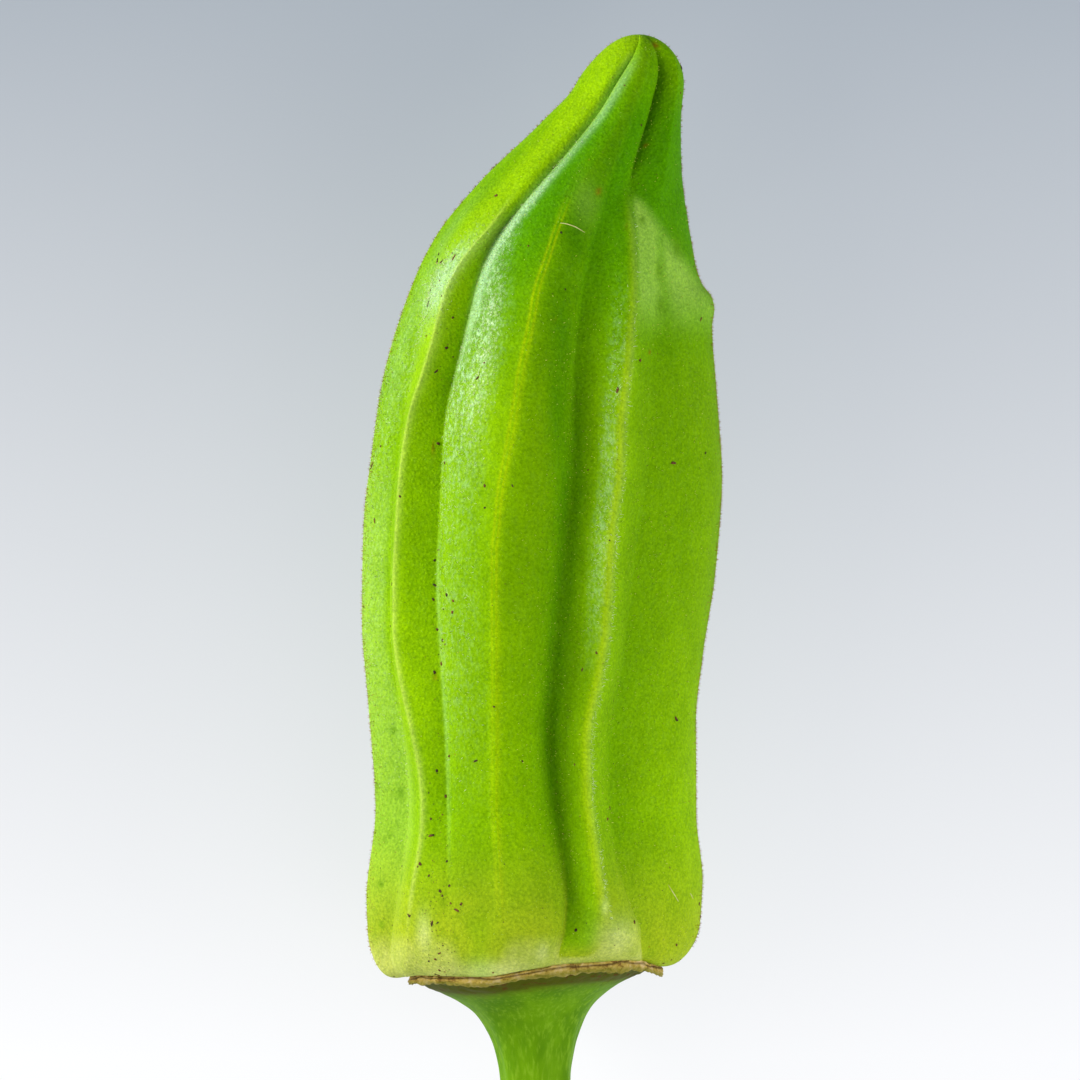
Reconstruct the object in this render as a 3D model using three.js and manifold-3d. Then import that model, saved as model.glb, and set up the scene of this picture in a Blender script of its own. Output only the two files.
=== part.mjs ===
// A large, fat okra pod as picked, laid on its back: nine ribs and nine grooves run from a broad
// rounded shoulder to a bent beak. A corky scar ring, a short cap and a cut stalk close its base.
// All of it grew as one piece, so it is one solid.
//
// Units are millimetres. +Y runs from the stalk to the beak and +Z is up. The pod rests on two
// of its ribs, on the plane z = 0, and the origin is under the middle of its box.
//
// Along the pod, "u" is the distance from the scar ring, positive towards the beak. Round the pod,
// 0 degrees faces up and 90 degrees faces +X. A curve along the pod is a list of [u, value].

import * as THREE from "three";
import { mergeVertices } from "three/addons/utils/BufferGeometryUtils.js";
import Module from "manifold-3d";

// Driving dimensions
const POD_LENGTH = 100.4;
const STALK_LENGTH = 20;
const SHOULDER_TOP = 5;
const SHOULDER_REACH = 5.2;
const SHOULDER_INSET = 3.5;
const BEAK_ROUND_START = 95;
const RING_RADIUS = 14.3;
const REST_CUT = 0.22;
const LAID_SLOPE = 0.028;

// Outline as seen from above: the left and the right edge
const LEFT_EDGE = [
  [0, -17.5], [8, -17.8], [17.5, -16.8], [28, -17.5], [38, -18.3], [48, -18.1], [56, -17.2],
  [64, -15.9], [72, -13.5], [78.4, -10.6], [84.8, -5.5], [91.3, 1.2], [95, 4.5], [100.4, 6.3],
];
const RIGHT_EDGE = [
  [0, 17.7], [10, 18.1], [17, 17.4], [27, 17.4], [34, 18.1], [43, 19.5], [53, 20.2], [60, 19.8],
  [67, 18.7], [72, 17.9], [76, 17.3], [80, 16.6], [86, 15.9], [91, 15.8], [95, 16.1], [100.4, 16.2],
];

// How far the scar ring and the shoulder by it are moved along the pod, by x from the middle line
const RING_EDGE = [
  [-17, -1], [-14, -0.3], [-12, 0.1], [-5.5, 0.1], [-1, 0.8], [3.3, 1.4], [7.6, 1.7], [9.8, 1.8],
  [11.5, 1.6], [14, 0.9], [17, 1.0],
];
const RING_FADE = 9;

// How thick the pod is from front to back, as a share of its width
const DEPTH_SHARE = [[0, 1], [60, 1], [72, 0.95], [85, 0.87], [100.4, 0.9]];

// Ribs and grooves in order round the pod. Those in sight from above are placed by "x", their
// distance from the pod's middle as seen from there, and the others by "angle". "drop" is how far
// each line lies below the pod's outer round. "before" and "after" are how blunt it is towards the
// line before it and the one after it, 1 being sharp, a number or a curve. "bump" is how far it is
// swollen. Towards the beak the fourth rib sinks into a crease between two lobes.
const REAR_DROP = [[0, 0.8], [5, 2.3], [15, 3.3], [40, 3.7], [60, 3.1], [75, 1.8], [85, 0.9], [100.4, 0.4]];
const steady = (value) => [[0, value], [POD_LENGTH, value]];
const LEVEL = steady(0);
const REAR_RIB = { drop: LEVEL, before: 1.3, after: 1.3 };
const REAR_GROOVE = { drop: REAR_DROP, before: 1.4, after: 1.4 };
const LINES = [
  { name: "left rib", angle: steady(-90), drop: LEVEL, before: 1.6, after: 1.9 },
  {
    name: "left groove",
    angle: [[0, -80], [9, -71], [POD_LENGTH, -71]],
    drop: [
      [0, 1], [4, 2], [14, 2.7], [24, 2.6], [34, 2.3], [50, 2.1], [64, 1.9], [72, 1.3], [80, 0.4],
      [100.4, 0.1],
    ],
    before: 1.4,
    after: 1.1,
  },
  {
    name: "second rib",
    x: [
      [0, -13.5], [3.4, -13.4], [6.3, -13.2], [9.4, -12.8], [12.3, -12.3], [15.2, -11.9], [18, -11.8],
      [21, -12], [26, -12.9], [30, -13.8], [33, -14.4], [37, -14.8], [42, -14.8], [48, -14.5],
      [53, -14.15], [57.4, -13.6], [60.8, -12.85], [64, -11.75], [67.2, -10.8], [70.2, -10.05],
      [73, -9.2], [75.2, -8.1], [77.3, -6.6], [79.4, -4.8], [81.6, -3.2], [84, -1.5], [88, 1.9],
      [91.6, 5], [95.9, 7.9], [100.4, 10.1],
    ],
    drop: [[0, 0], [77, 0], [79.5, 0.3], [81.6, 0.8], [84, 1.1], [88, 1.2], [94, 0.9], [100.4, 0.2]],
    before: [[77, 1.1], [84, 2]],
    after: [[77, 1.1], [84, 2]],
  },
  {
    name: "second groove",
    x: [
      [0, -9], [12, -9.1], [24, -9.3], [31, -9.7], [36, -10], [42, -10.3], [47.5, -10.05],
      [53, -9.8], [57.3, -9.55], [60.3, -9.2], [63.1, -8.6], [65.8, -7.9], [68.5, -7.2],
      [71.2, -6.5], [74, -5.8], [76.3, -5], [78.6, -3.8], [82, -1.1], [85, 1.4], [89, 4.8], [92, 7.1],
      [95, 8.9], [98.6, 10.9], [100.4, 11.6],
    ],
    drop: [
      [0, 0.1], [6, 0.4], [12, 0.8], [20, 1.4], [30, 2.1], [42, 2.7], [55, 3.1], [66, 3.1],
      [74, 2.8], [80, 2.4], [88, 2.3], [95, 1.7], [100.4, 0.4],
    ],
    before: 1.0,
    after: [[40, 0.9], [80, 0.7]],
  },
  {
    name: "middle rib",
    x: [
      [0, -3], [8, -3.5], [15, -3.9], [19, -4.1], [45, -4.1], [48, -3.8], [52, -3.4], [55, -2.8],
      [60, -1.9], [64, -1.3], [69, -0.3], [73, 0.4], [76, 1.4], [80, 2.7], [84, 4.4], [87.5, 6.7],
      [91.6, 9], [96, 10.8], [100.4, 11.9],
    ],
    drop: LEVEL,
    before: [[35, 1.25], [60, 1.6]],
    after: [[5, 2.6], [15, 1.5], [35, 1.5], [60, 2]],
  },
  {
    name: "deep groove",
    x: [
      [0, 2.2], [2.2, 2.6], [5, 3.3], [8, 3.5], [12, 3.2], [19, 2.3], [26, 1.7], [32, 2], [38, 2.6],
      [48, 3.7], [55, 4.3], [64, 4.4], [72, 5.2], [77.5, 6.3], [81, 7.3], [84, 8.2], [88, 9.7],
      [92, 11.1], [96, 12.4], [100.4, 13],
    ],
    drop: [
      [0, 0.8], [4, 2.2], [12, 3.6], [24, 4.4], [40, 4.6], [56, 4.2], [64, 3.6], [70, 2.9], [76, 2.1],
      [82, 1.4], [87, 1], [93, 0.9], [97, 0.6], [100.4, 0.2],
    ],
    before: [[5, 0.8], [15, 1]],
    after: 1.6,
  },
  {
    name: "fourth rib",
    x: [
      [0, 8.8], [6.5, 8], [11, 7.3], [14, 6.9], [19.5, 6.2], [25, 6.1], [28, 6.5], [32, 7.4],
      [37, 8.1], [42, 8.4], [48, 8.8], [53, 9.5], [60, 9.8], [63, 10.2], [68, 10.6], [73, 10.9],
      [78.4, 10.8], [81, 10.5], [83.5, 10.3], [86.1, 10.7], [88.7, 11.45], [91.3, 12.2], [93.3, 12.7],
      [96.3, 13.4], [100.4, 13.9],
    ],
    drop: [
      [0, 0], [76, 0], [79.5, 0.3], [82, 1], [84.5, 1.9], [88, 2.5], [93, 2.4], [97, 1.9], [100.4, 0.5],
    ],
    before: [[80, 1.3], [86, 1]],
    after: [[6, 2.2], [14, 1.1]],
    bump: [[0, 0], [4, 0.5], [9, 0.25], [15, 0]],
  },
  {
    name: "right groove",
    x: [
      [0, 11.5], [4, 11.3], [5.2, 10.9], [7.2, 10.2], [11, 9.3], [14, 8.8], [19, 8.3], [23.5, 8.1],
      [26, 8.6], [31, 9.3], [36, 10], [43, 10.8], [49, 11.6], [55, 12.4], [64, 12.7], [70, 13],
      [78, 13.3], [84, 14], [88, 14.6], [92, 15.1], [96, 15.6], [100.4, 15.9],
    ],
    drop: [
      [0, 0.9], [4, 2.2], [12, 2.9], [24, 2.9], [40, 2.4], [56, 1.8], [68, 1.2], [76, 0.7], [82, 0.4],
      [88, -0.2], [95, -0.2], [100.4, 0],
    ],
    before: [[6, 0.8], [14, 1.2]],
    after: 1.7,
  },
  {
    name: "right rib",
    angle: steady(90),
    drop: LEVEL,
    before: 1.7,
    after: 1.8,
    bump: [[60, 0], [65.6, 0.4], [69.2, 0.8], [71.3, 1.35], [72.2, 1.3], [73.8, 0.4], [76, 0]],
  },
  { name: "rear groove 1", angle: steady(109), ...REAR_GROOVE },
  { name: "rear rib 1", angle: steady(127), ...REAR_RIB },
  { name: "rear groove 2", angle: steady(145), ...REAR_GROOVE },
  { name: "resting rib 1", angle: steady(161), ...REAR_RIB },
  { name: "rear groove 3", angle: steady(181), ...REAR_GROOVE },
  { name: "resting rib 2", angle: steady(199), ...REAR_RIB },
  { name: "rear groove 4", angle: steady(217), ...REAR_GROOVE },
  { name: "rear rib 2", angle: steady(235), ...REAR_RIB },
  { name: "rear groove 5", angle: steady(252), ...REAR_GROOVE },
];

// Below the scar ring: [u, radius] down the ring's face, the cap's hollow cone and the stalk
const CAP_PROFILE = [
  [-0.55, RING_RADIUS], [-1.0, 13.7], [-1.15, 12.1], [-1.7, 11.2], [-2.4, 9.6], [-3.3, 7.8], [-4.4, 6.3],
  [-6, 5.1], [-8, 4.3], [-11, 3.8], [-15, 3.55], [-19.3, 3.6], [-STALK_LENGTH, 3.45],
];
const STALK_SIDES = 5;
const STALK_OUT_OF_ROUND = 0.02;
const STALK_X = [[-STALK_LENGTH, 0.8], [-11, 0.3], [0, 0]];
const STALK_Z = [[-STALK_LENGTH, -0.9], [-11, -0.3], [0, 0]];

// Mesh fineness
const FLANK_STEPS = [0, 0.3, 0.6, 0.84];
const BODY_STEPS = 42;
const TIP_STEPS = 8;
const SHOULDER_STEPS = 6;
const COLUMNS = LINES.length * FLANK_STEPS.length;

const radians = THREE.MathUtils.degToRad;
const clamp = THREE.MathUtils.clamp;
const lerp = THREE.MathUtils.lerp;

// A smooth curve through [u, value] points that never overshoots them
function along(points, u) {
  const last = points.length - 1;
  if (u <= points[0][0]) return points[0][1];
  if (u >= points[last][0]) return points[last][1];
  const i = points.findIndex(([at]) => at > u) - 1;
  const chord = (k) => (points[k + 1][1] - points[k][1]) / (points[k + 1][0] - points[k][0]);
  const slope = (k) => {
    if (k === 0 || k === last) return 0;
    const [before, after] = [chord(k - 1), chord(k)];
    return before * after <= 0 ? 0 : (2 * before * after) / (before + after);
  };
  const span = points[i + 1][0] - points[i][0];
  const t = (u - points[i][0]) / span;
  const [v0, v1, m0, m1] = [points[i][1], points[i + 1][1], slope(i) * span, slope(i + 1) * span];
  return (
    v0 * (1 + 2 * t) * (1 - t) ** 2 + m0 * t * (1 - t) ** 2 +
    v1 * t ** 2 * (3 - 2 * t) + m1 * t ** 2 * (t - 1)
  );
}

// Middle line and outer radius of the pod at u, with the shoulder and the beak's end rounded off
function roundAt(u) {
  const left = along(LEFT_EDGE, u);
  const right = along(RIGHT_EDGE, u);
  const below = clamp((SHOULDER_TOP - u) / SHOULDER_REACH, 0, 1);
  const above = clamp((u - BEAK_ROUND_START) / (POD_LENGTH - BEAK_ROUND_START), 0, 1);
  const closing = Math.sqrt(1 - above * above);
  const radius = (right - left) / 2 - SHOULDER_INSET * (1 - Math.sqrt(1 - below * below));
  return { middle: (left + right) / 2, radius: radius * closing, closing };
}

// Angle and radius of one rib or groove at u
function lineAt(line, u, round) {
  const bump = line.bump ? along(line.bump, u) : 0;
  const radius = Math.max(round.radius - along(line.drop, u) * round.closing + bump, 0);
  if (line.angle) return { angle: radians(along(line.angle, u)), radius };
  const sideways = (along(line.x, u) - round.middle) * round.closing;
  return { angle: Math.asin(clamp(sideways / Math.max(radius, 0.01), -0.97, 0.97)), radius };
}

const bluntness = (power, u) => (typeof power === "number" ? power : along(power, u));

// Angle and radius of every column of the mesh at u
function sectionAt(u) {
  const round = roundAt(u);
  const lines = LINES.map((line) => lineAt(line, u, round));
  const columns = [];
  lines.forEach((from, i) => {
    const next = (i + 1) % lines.length;
    const to = lines[next];
    const turn = to.angle - from.angle + (next === 0 ? 2 * Math.PI : 0);
    // Ribs stand at even places in the list, so the flank falls away from them
    const falling = i % 2 === 0;
    const [high, low] = falling ? [from, to] : [to, from];
    const near = bluntness(LINES[i].after, u);
    const far = bluntness(LINES[next].before, u);
    const [crest, trough] = falling ? [near, far] : [far, near];
    for (const step of FLANK_STEPS) {
      const fall = 1 - (1 - (falling ? step : 1 - step) ** crest) ** trough;
      columns.push({ angle: from.angle + turn * step, radius: lerp(high.radius, low.radius, fall) });
    }
  });
  return { middle: round.middle, columns };
}

// Stations along the pod, from the stalk's cut end to the tip of the beak
function stations() {
  const list = [{ u: -STALK_LENGTH, radius: 0 }];
  for (const [u, radius] of [...CAP_PROFILE].reverse()) list.push({ u, radius });
  for (let k = SHOULDER_STEPS; k > 0; k -= 1) {
    list.push({ u: SHOULDER_TOP - SHOULDER_REACH * Math.sin((Math.PI / 2) * (k / SHOULDER_STEPS)) });
  }
  for (let k = 0; k < BODY_STEPS; k += 1) {
    list.push({ u: lerp(SHOULDER_TOP, BEAK_ROUND_START, k / BODY_STEPS) });
  }
  for (let k = 0; k <= TIP_STEPS; k += 1) {
    list.push({ u: lerp(BEAK_ROUND_START, POD_LENGTH, Math.sin((Math.PI / 2) * (k / TIP_STEPS))) });
  }
  return list;
}

// Where one column of one station lies, in the pod's own frame
function place({ u, radius }, column) {
  const onStalk = radius !== undefined;
  const section = sectionAt(u);
  const { angle } = section.columns[column];
  const sided = 1 + STALK_OUT_OF_ROUND * Math.cos(STALK_SIDES * angle);
  const reach = onStalk ? radius * sided : section.columns[column].radius;
  const middle = onStalk ? along(STALK_X, u) : section.middle;
  const depth = onStalk ? 1 : along(DEPTH_SHARE, u);
  const x = middle + reach * Math.sin(angle);
  const nearRing = 1 - THREE.MathUtils.smoothstep(Math.abs(u), 0, RING_FADE);
  const z = reach * Math.cos(angle) * depth + along(STALK_Z, u) + LAID_SLOPE * u;
  return new THREE.Vector3(x, u + nearRing * along(RING_EDGE, x), z);
}

// The whole skin: a turned blank whose points are moved onto the ribs and grooves
function podGeometry() {
  const list = stations();
  const blank = list.map(({ u, radius }) => new THREE.Vector2(radius ?? 1, u));
  const geometry = new THREE.LatheGeometry(blank, COLUMNS);
  const position = geometry.attributes.position;
  for (let i = 0; i <= COLUMNS; i += 1) {
    list.forEach((station, j) => {
      const { x, y, z } = place(station, i % COLUMNS);
      position.setXYZ(i * list.length + j, x, y, z);
    });
  }
  geometry.deleteAttribute("normal");
  geometry.deleteAttribute("uv");
  geometry.computeBoundingBox();
  const { min, max } = geometry.boundingBox;
  return geometry.translate(-(min.x + max.x) / 2, -(min.y + max.y) / 2, -min.z - REST_CUT);
}

const wasm = await Module();
wasm.setup();

function solidOf(geometry) {
  const bare = geometry.clone();
  bare.deleteAttribute("normal");
  bare.deleteAttribute("uv");
  const merged = mergeVertices(bare, 1e-4);
  return new wasm.Manifold(
    new wasm.Mesh({
      numProp: 3,
      vertProperties: merged.attributes.position.array,
      triVerts: new Uint32Array(merged.index.array),
    }),
  );
}

function geometryOf(solid) {
  const { vertProperties, triVerts } = solid.getMesh();
  const geometry = new THREE.BufferGeometry();
  geometry.setAttribute("position", new THREE.BufferAttribute(vertProperties, 3));
  geometry.setIndex(new THREE.BufferAttribute(triVerts, 1));
  geometry.computeVertexNormals();
  return geometry;
}

// The slab below the surface that the pod lies on, which flattens the two resting ribs a little
const SLAB = 10;
const slab = new THREE.BoxGeometry(POD_LENGTH, 2 * POD_LENGTH, SLAB).translate(0, 0, -SLAB / 2);

const pod = new THREE.Mesh(
  geometryOf(solidOf(podGeometry()).subtract(solidOf(slab))),
  new THREE.MeshStandardMaterial({ color: 0x86b81c, roughness: 0.45, metalness: 0 }),
);
pod.name = "okra_pod";

const okra = new THREE.Group();
okra.add(pod);

export default okra;
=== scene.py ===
"""Looks of a fat, ribbed okra pod as picked, laid on its back on a pale table.

Lengths in the tables are millimetres and meshes are metres, in the part's own frame: +Y runs from
the stalk to the beak, +Z is up and the pod lies on z = 0. Along the pod, "u" is the distance from
the scar ring, positive towards the beak. Round the pod, 0 degrees faces up and 90 degrees +X. A
"mask" says how much of a look there is at each of a piece's points, 0 to 1.
"""

import logging
import math
from dataclasses import dataclass, field
from enum import Enum
from typing import Optional, Sequence, Union

import bpy
import numpy as np
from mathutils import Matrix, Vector, noise
from mathutils.bvhtree import BVHTree


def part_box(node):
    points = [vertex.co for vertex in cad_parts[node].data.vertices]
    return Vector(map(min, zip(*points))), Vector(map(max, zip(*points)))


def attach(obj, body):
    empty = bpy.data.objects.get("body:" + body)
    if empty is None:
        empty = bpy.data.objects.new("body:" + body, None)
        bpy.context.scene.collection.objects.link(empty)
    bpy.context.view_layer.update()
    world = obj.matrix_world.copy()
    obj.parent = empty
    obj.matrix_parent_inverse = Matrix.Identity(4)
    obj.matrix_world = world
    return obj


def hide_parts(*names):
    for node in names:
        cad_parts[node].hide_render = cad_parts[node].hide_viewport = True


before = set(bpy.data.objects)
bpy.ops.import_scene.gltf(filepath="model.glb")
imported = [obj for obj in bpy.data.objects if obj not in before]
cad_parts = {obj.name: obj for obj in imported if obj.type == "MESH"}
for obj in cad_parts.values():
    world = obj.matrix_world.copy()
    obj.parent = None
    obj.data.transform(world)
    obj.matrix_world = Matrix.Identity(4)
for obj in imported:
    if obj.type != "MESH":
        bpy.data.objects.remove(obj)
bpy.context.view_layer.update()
NODE = "okra_pod"
BODY = "root"
MM = 0.001
LOG = logging.getLogger("okra")

Colour = tuple[float, float, float]
Ends = tuple[float, float]
Edge = tuple[str, float, float]
Knots = tuple[Ends, ...]
Marks = tuple[tuple[float, float, float, float], ...]
Number = Union[float, np.ndarray]
Pair = tuple[np.ndarray, np.ndarray]
Faces = list[tuple[int, ...]]
Fields = dict[str, np.ndarray]


def tone(red: int, green: int, blue: int) -> Colour:
    """Scene-linear colour of a display colour.

    Args:
        red: Display red, 0 to 255.
        green: Display green, 0 to 255.
        blue: Display blue, 0 to 255.

    Returns:
        The three linear channels.
    """

    def linear(value: int) -> float:
        """Linear value of one channel."""
        share = value / 255
        return share / 12.92 if share <= 0.04045 else ((share + 0.055) / 1.055) ** 2.4

    return linear(red), linear(green), linear(blue)


def smooth(low: Number, high: Number, value: np.ndarray) -> np.ndarray:
    """Smooth step of a value, from 0 at low to 1 at high."""
    share = np.clip((value - low) / (high - low), 0, 1)
    return share * share * (3 - 2 * share)


def span(value: np.ndarray, rise: Optional[Ends] = None, fall: Optional[Ends] = None) -> np.ndarray:
    """Mask of a stretch of a value with soft ends: where it comes in and where it goes out."""
    mask = smooth(*rise, value) if rise else np.ones_like(value)
    return mask * (1 - smooth(*fall, value)) if fall else mask


def bell(value: np.ndarray, middle: Number, width: Number) -> np.ndarray:
    """A bell round a middle, 1 high, that has sunk to 0.37 at its width."""
    return np.exp(-(((value - middle) / width) ** 2))


@dataclass(frozen=True)
class Curve:
    """A smooth curve through (place, value) points that never overshoots them."""

    points: Knots

    def __call__(self, at: Number) -> np.ndarray:
        """Reads the curve.

        Args:
            at: One place or an array of them.

        Returns:
            The curve's values there.
        """
        place, value = (np.array(column, float) for column in zip(*self.points))
        chord = np.diff(value) / np.diff(place)
        slope = np.zeros(len(place))
        same = chord[:-1] * chord[1:] > 0
        both = np.where(same, chord[:-1] + chord[1:], 1.0)
        slope[1:-1] = np.where(same, 2 * chord[:-1] * chord[1:] / both, 0)
        u = np.clip(np.asarray(at, float), place[0], place[-1])
        i = np.clip(np.searchsorted(place, u, side="right") - 1, 0, len(place) - 2)
        gap = place[i + 1] - place[i]
        t = (u - place[i]) / gap
        return (
            value[i] * (1 + 2 * t) * (1 - t) ** 2
            + slope[i] * gap * t * (1 - t) ** 2
            + value[i + 1] * t**2 * (3 - 2 * t)
            + slope[i + 1] * gap * t**2 * (t - 1)
        )


def curve(*points: Ends) -> Curve:
    """Short way to write a curve's points."""
    return Curve(points)


class Kind(Enum):
    """Whether a line along the pod stands up or lies low."""

    RIB = "rib"
    GROOVE = "groove"


@dataclass(frozen=True)
class PodLine:
    """One rib or groove that runs along the pod.

    It is placed by "across", its x as seen from above, or by "angle". "drop" is how far it lies
    below the pod's outer round and "bump" how far it stands above. "before" and "after" are how
    blunt it is towards its two neighbours, 1 being sharp. "vein" is how high a thin vein stands on
    it and "pale" how light that vein is. "yellow" is the strength of the yellow band on either side
    of it, "twin" that of two thin yellow lines along it, and "fringe" that of the white hairs on
    its right. "dark" is how much painted shade a groove lays on the skin, and "front" lines are
    the ones on the upper side.
    """

    name: str
    kind: Kind
    drop: Curve
    before: Union[float, Curve]
    after: Union[float, Curve]
    angle: Optional[Curve] = None
    across: Optional[Curve] = None
    bump: Optional[Curve] = None
    vein: float = 0.0
    pale: float = 0.0
    yellow: tuple[float, float] = (0.0, 0.0)
    twin: float = 0.0
    fringe: float = 0.0
    dark: float = 1.0
    front: bool = True


POD_LENGTH = 100.4
LEVEL = curve((0, 0), (POD_LENGTH, 0))
REAR_DROP = curve(
    (0, 0.8), (5, 2.3), (15, 3.3), (40, 3.7), (60, 3.1), (75, 1.8), (85, 0.9), (100.4, 0.4)
)


def steady(value: float) -> Curve:
    """A curve that stays at one value."""
    return curve((0, value), (POD_LENGTH, value))


def rear_rib(name: str, angle: float) -> PodLine:
    """A plain rib on the far side of the pod."""
    return PodLine(name, Kind.RIB, LEVEL, 1.3, 1.3, angle=steady(angle), vein=0.06, front=False)


def rear_groove(name: str, angle: float) -> PodLine:
    """A plain groove on the far side of the pod."""
    return PodLine(name, Kind.GROOVE, REAR_DROP, 1.4, 1.4, angle=steady(angle), front=False)


POD_LINES = (
    # The left rib's pale vein is a painted highlight along its crest at the outline.
    PodLine("left rib", Kind.RIB, LEVEL, 1.6, 1.9, angle=steady(-90), vein=0.05, pale=0.4),
    PodLine(
        "left groove",
        Kind.GROOVE,
        curve(
            (0, 1), (4, 2), (14, 2.7), (24, 2.6), (34, 2.3), (50, 2.1), (64, 1.9), (72, 1.3),
            (80, 0.4), (100.4, 0.1),
        ),
        1.4,
        1.1,
        dark=0.5,
        angle=curve((0, -80), (9, -71), (POD_LENGTH, -71)),
    ),
    PodLine(
        "second rib",
        Kind.RIB,
        curve(
            (0, 0), (77, 0), (79.5, 0.3), (81.6, 0.8), (84, 1.1), (88, 1.2), (94, 0.9), (100.4, 0.2)
        ),
        curve((77, 1.1), (84, 2)),
        curve((77, 1.1), (84, 2)),
        across=curve(
            (0, -13.5), (3.4, -13.4), (6.3, -13.2), (9.4, -12.8), (12.3, -12.3), (15.2, -11.9),
            (18, -11.8), (21, -12), (26, -12.9), (30, -13.8), (33, -14.4), (37, -14.8), (42, -14.8),
            (48, -14.5), (53, -14.15), (57.4, -13.6), (60.8, -12.85), (64, -11.75), (67.2, -10.8),
            (70.2, -10.05), (73, -9.2), (75.2, -8.1), (77.3, -6.6), (79.4, -4.8), (81.6, -3.2),
            (84, -1.5), (88, 1.9), (91.6, 5), (95.9, 7.9), (100.4, 10.1),
        ),
        vein=0.05,
        pale=0.6,
    ),
    PodLine(
        "second groove",
        Kind.GROOVE,
        curve(
            (0, 0.1), (6, 0.4), (12, 0.8), (20, 1.4), (30, 2.1), (42, 2.7), (55, 3.1), (66, 3.1),
            (74, 2.8), (80, 2.4), (88, 2.3), (95, 1.7), (100.4, 0.4),
        ),
        1.0,
        curve((40, 0.9), (80, 0.7)),
        dark=0.15,
        across=curve(
            (0, -9), (12, -9.1), (24, -9.3), (31, -9.7), (36, -10), (42, -10.3), (47.5, -10.05),
            (53, -9.8), (57.3, -9.55), (60.3, -9.2), (63.1, -8.6), (65.8, -7.9), (68.5, -7.2),
            (71.2, -6.5), (74, -5.8), (76.3, -5), (78.6, -3.8), (82, -1.1), (85, 1.4), (89, 4.8),
            (92, 7.1), (95, 8.9), (98.6, 10.9), (100.4, 11.6),
        ),
    ),
    PodLine(
        "middle rib",
        Kind.RIB,
        LEVEL,
        curve((35, 1.25), (60, 1.6)),
        curve((5, 2.6), (15, 1.5), (35, 1.5), (60, 2)),
        across=curve(
            (0, -3), (8, -3.5), (15, -3.9), (19, -4.1), (45, -4.1), (48, -3.8), (52, -3.4),
            (55, -2.8), (60, -1.9), (64, -1.3), (69, -0.3), (73, 0.4), (76, 1.4), (80, 2.7),
            (84, 4.4), (87.5, 6.7), (91.6, 9), (96, 10.8), (100.4, 11.9),
        ),
        vein=0.06,
        yellow=(0.0, 0.2),
        twin=0.8,
    ),
    PodLine(
        "deep groove",
        Kind.GROOVE,
        curve(
            (0, 0.8), (4, 2.2), (12, 3.6), (24, 4.4), (40, 4.6), (56, 4.2), (64, 3.6), (70, 2.9),
            (76, 2.1), (82, 1.4), (87, 1), (93, 0.9), (97, 0.6), (100.4, 0.2),
        ),
        curve((5, 0.8), (15, 1)),
        1.6,
        dark=0.85,
        across=curve(
            (0, 2.2), (2.2, 2.6), (5, 3.3), (8, 3.5), (12, 3.2), (19, 2.3), (26, 1.7), (32, 2),
            (38, 2.6), (48, 3.7), (55, 4.3), (64, 4.4), (72, 5.2), (77.5, 6.3), (81, 7.3),
            (84, 8.2), (88, 9.7), (92, 11.1), (96, 12.4), (100.4, 13.0),
        ),
    ),
    # The fourth rib's pale vein is a painted highlight on its crest edge.
    PodLine(
        "fourth rib",
        Kind.RIB,
        curve(
            (0, 0), (76, 0), (79.5, 0.3), (82, 1), (84.5, 1.9), (88, 2.5), (93, 2.4), (97, 1.9),
            (100.4, 0.5),
        ),
        curve((80, 1.3), (86, 1)),
        curve((6, 2.2), (14, 1.1)),
        across=curve(
            (0, 8.8), (6.5, 8), (11, 7.3), (14, 6.9), (19.5, 6.2), (25, 6.1), (28, 6.5), (32, 7.4),
            (37, 8.1), (42, 8.4), (48, 8.8), (53, 9.5), (60, 9.8), (63, 10.2), (68, 10.6),
            (73, 10.9), (78.4, 10.8), (81, 10.5), (83.5, 10.3), (86.1, 10.7), (88.7, 11.45),
            (91.3, 12.2), (93.3, 12.7), (96.3, 13.4), (100.4, 13.9),
        ),
        bump=curve((0, 0), (4, 0.5), (9, 0.25), (15, 0)),
        vein=0.06,
        pale=0.3,
        yellow=(0.7, 0.0),
        fringe=1.0,
    ),
    PodLine(
        "right groove",
        Kind.GROOVE,
        curve(
            (0, 0.9), (4, 2.2), (12, 2.9), (24, 2.9), (40, 2.4), (56, 1.8), (68, 1.2), (76, 0.7),
            (82, 0.4), (88, -0.2), (95, -0.2), (100.4, 0),
        ),
        curve((6, 0.8), (14, 1.2)),
        1.7,
        dark=0.9,
        across=curve(
            (0, 11.5), (4, 11.3), (5.2, 10.9), (7.2, 10.2), (11, 9.3), (14, 8.8), (19, 8.3),
            (23.5, 8.1), (26, 8.6), (31, 9.3), (36, 10), (43, 10.8), (49, 11.6), (55, 12.4),
            (64, 12.7), (70, 13), (78, 13.3), (84, 14), (88, 14.6), (92, 15.1), (96, 15.6),
            (100.4, 15.9),
        ),
    ),
    PodLine(
        "right rib",
        Kind.RIB,
        LEVEL,
        1.7,
        1.8,
        angle=steady(90),
        vein=0.05,
        pale=0.3,
        bump=curve(
            (60, 0), (65.6, 0.4), (69.2, 0.8), (71.3, 1.35), (72.2, 1.3), (73.8, 0.4), (76, 0)
        ),
    ),
    rear_groove("rear groove 1", 109),
    rear_rib("rear rib 1", 127),
    rear_groove("rear groove 2", 145),
    rear_rib("resting rib 1", 161),
    rear_groove("rear groove 3", 181),
    rear_rib("resting rib 2", 199),
    rear_groove("rear groove 4", 217),
    rear_rib("rear rib 2", 235),
    rear_groove("rear groove 5", 252),
)


def past(name: str, points: np.ndarray) -> np.ndarray:
    """How far to the right of a named line points lie, all in the form's own millimetres."""
    line = next(line for line in POD_LINES if line.name == name)
    return points[:, 0] - line.across(points[:, 1])


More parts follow.
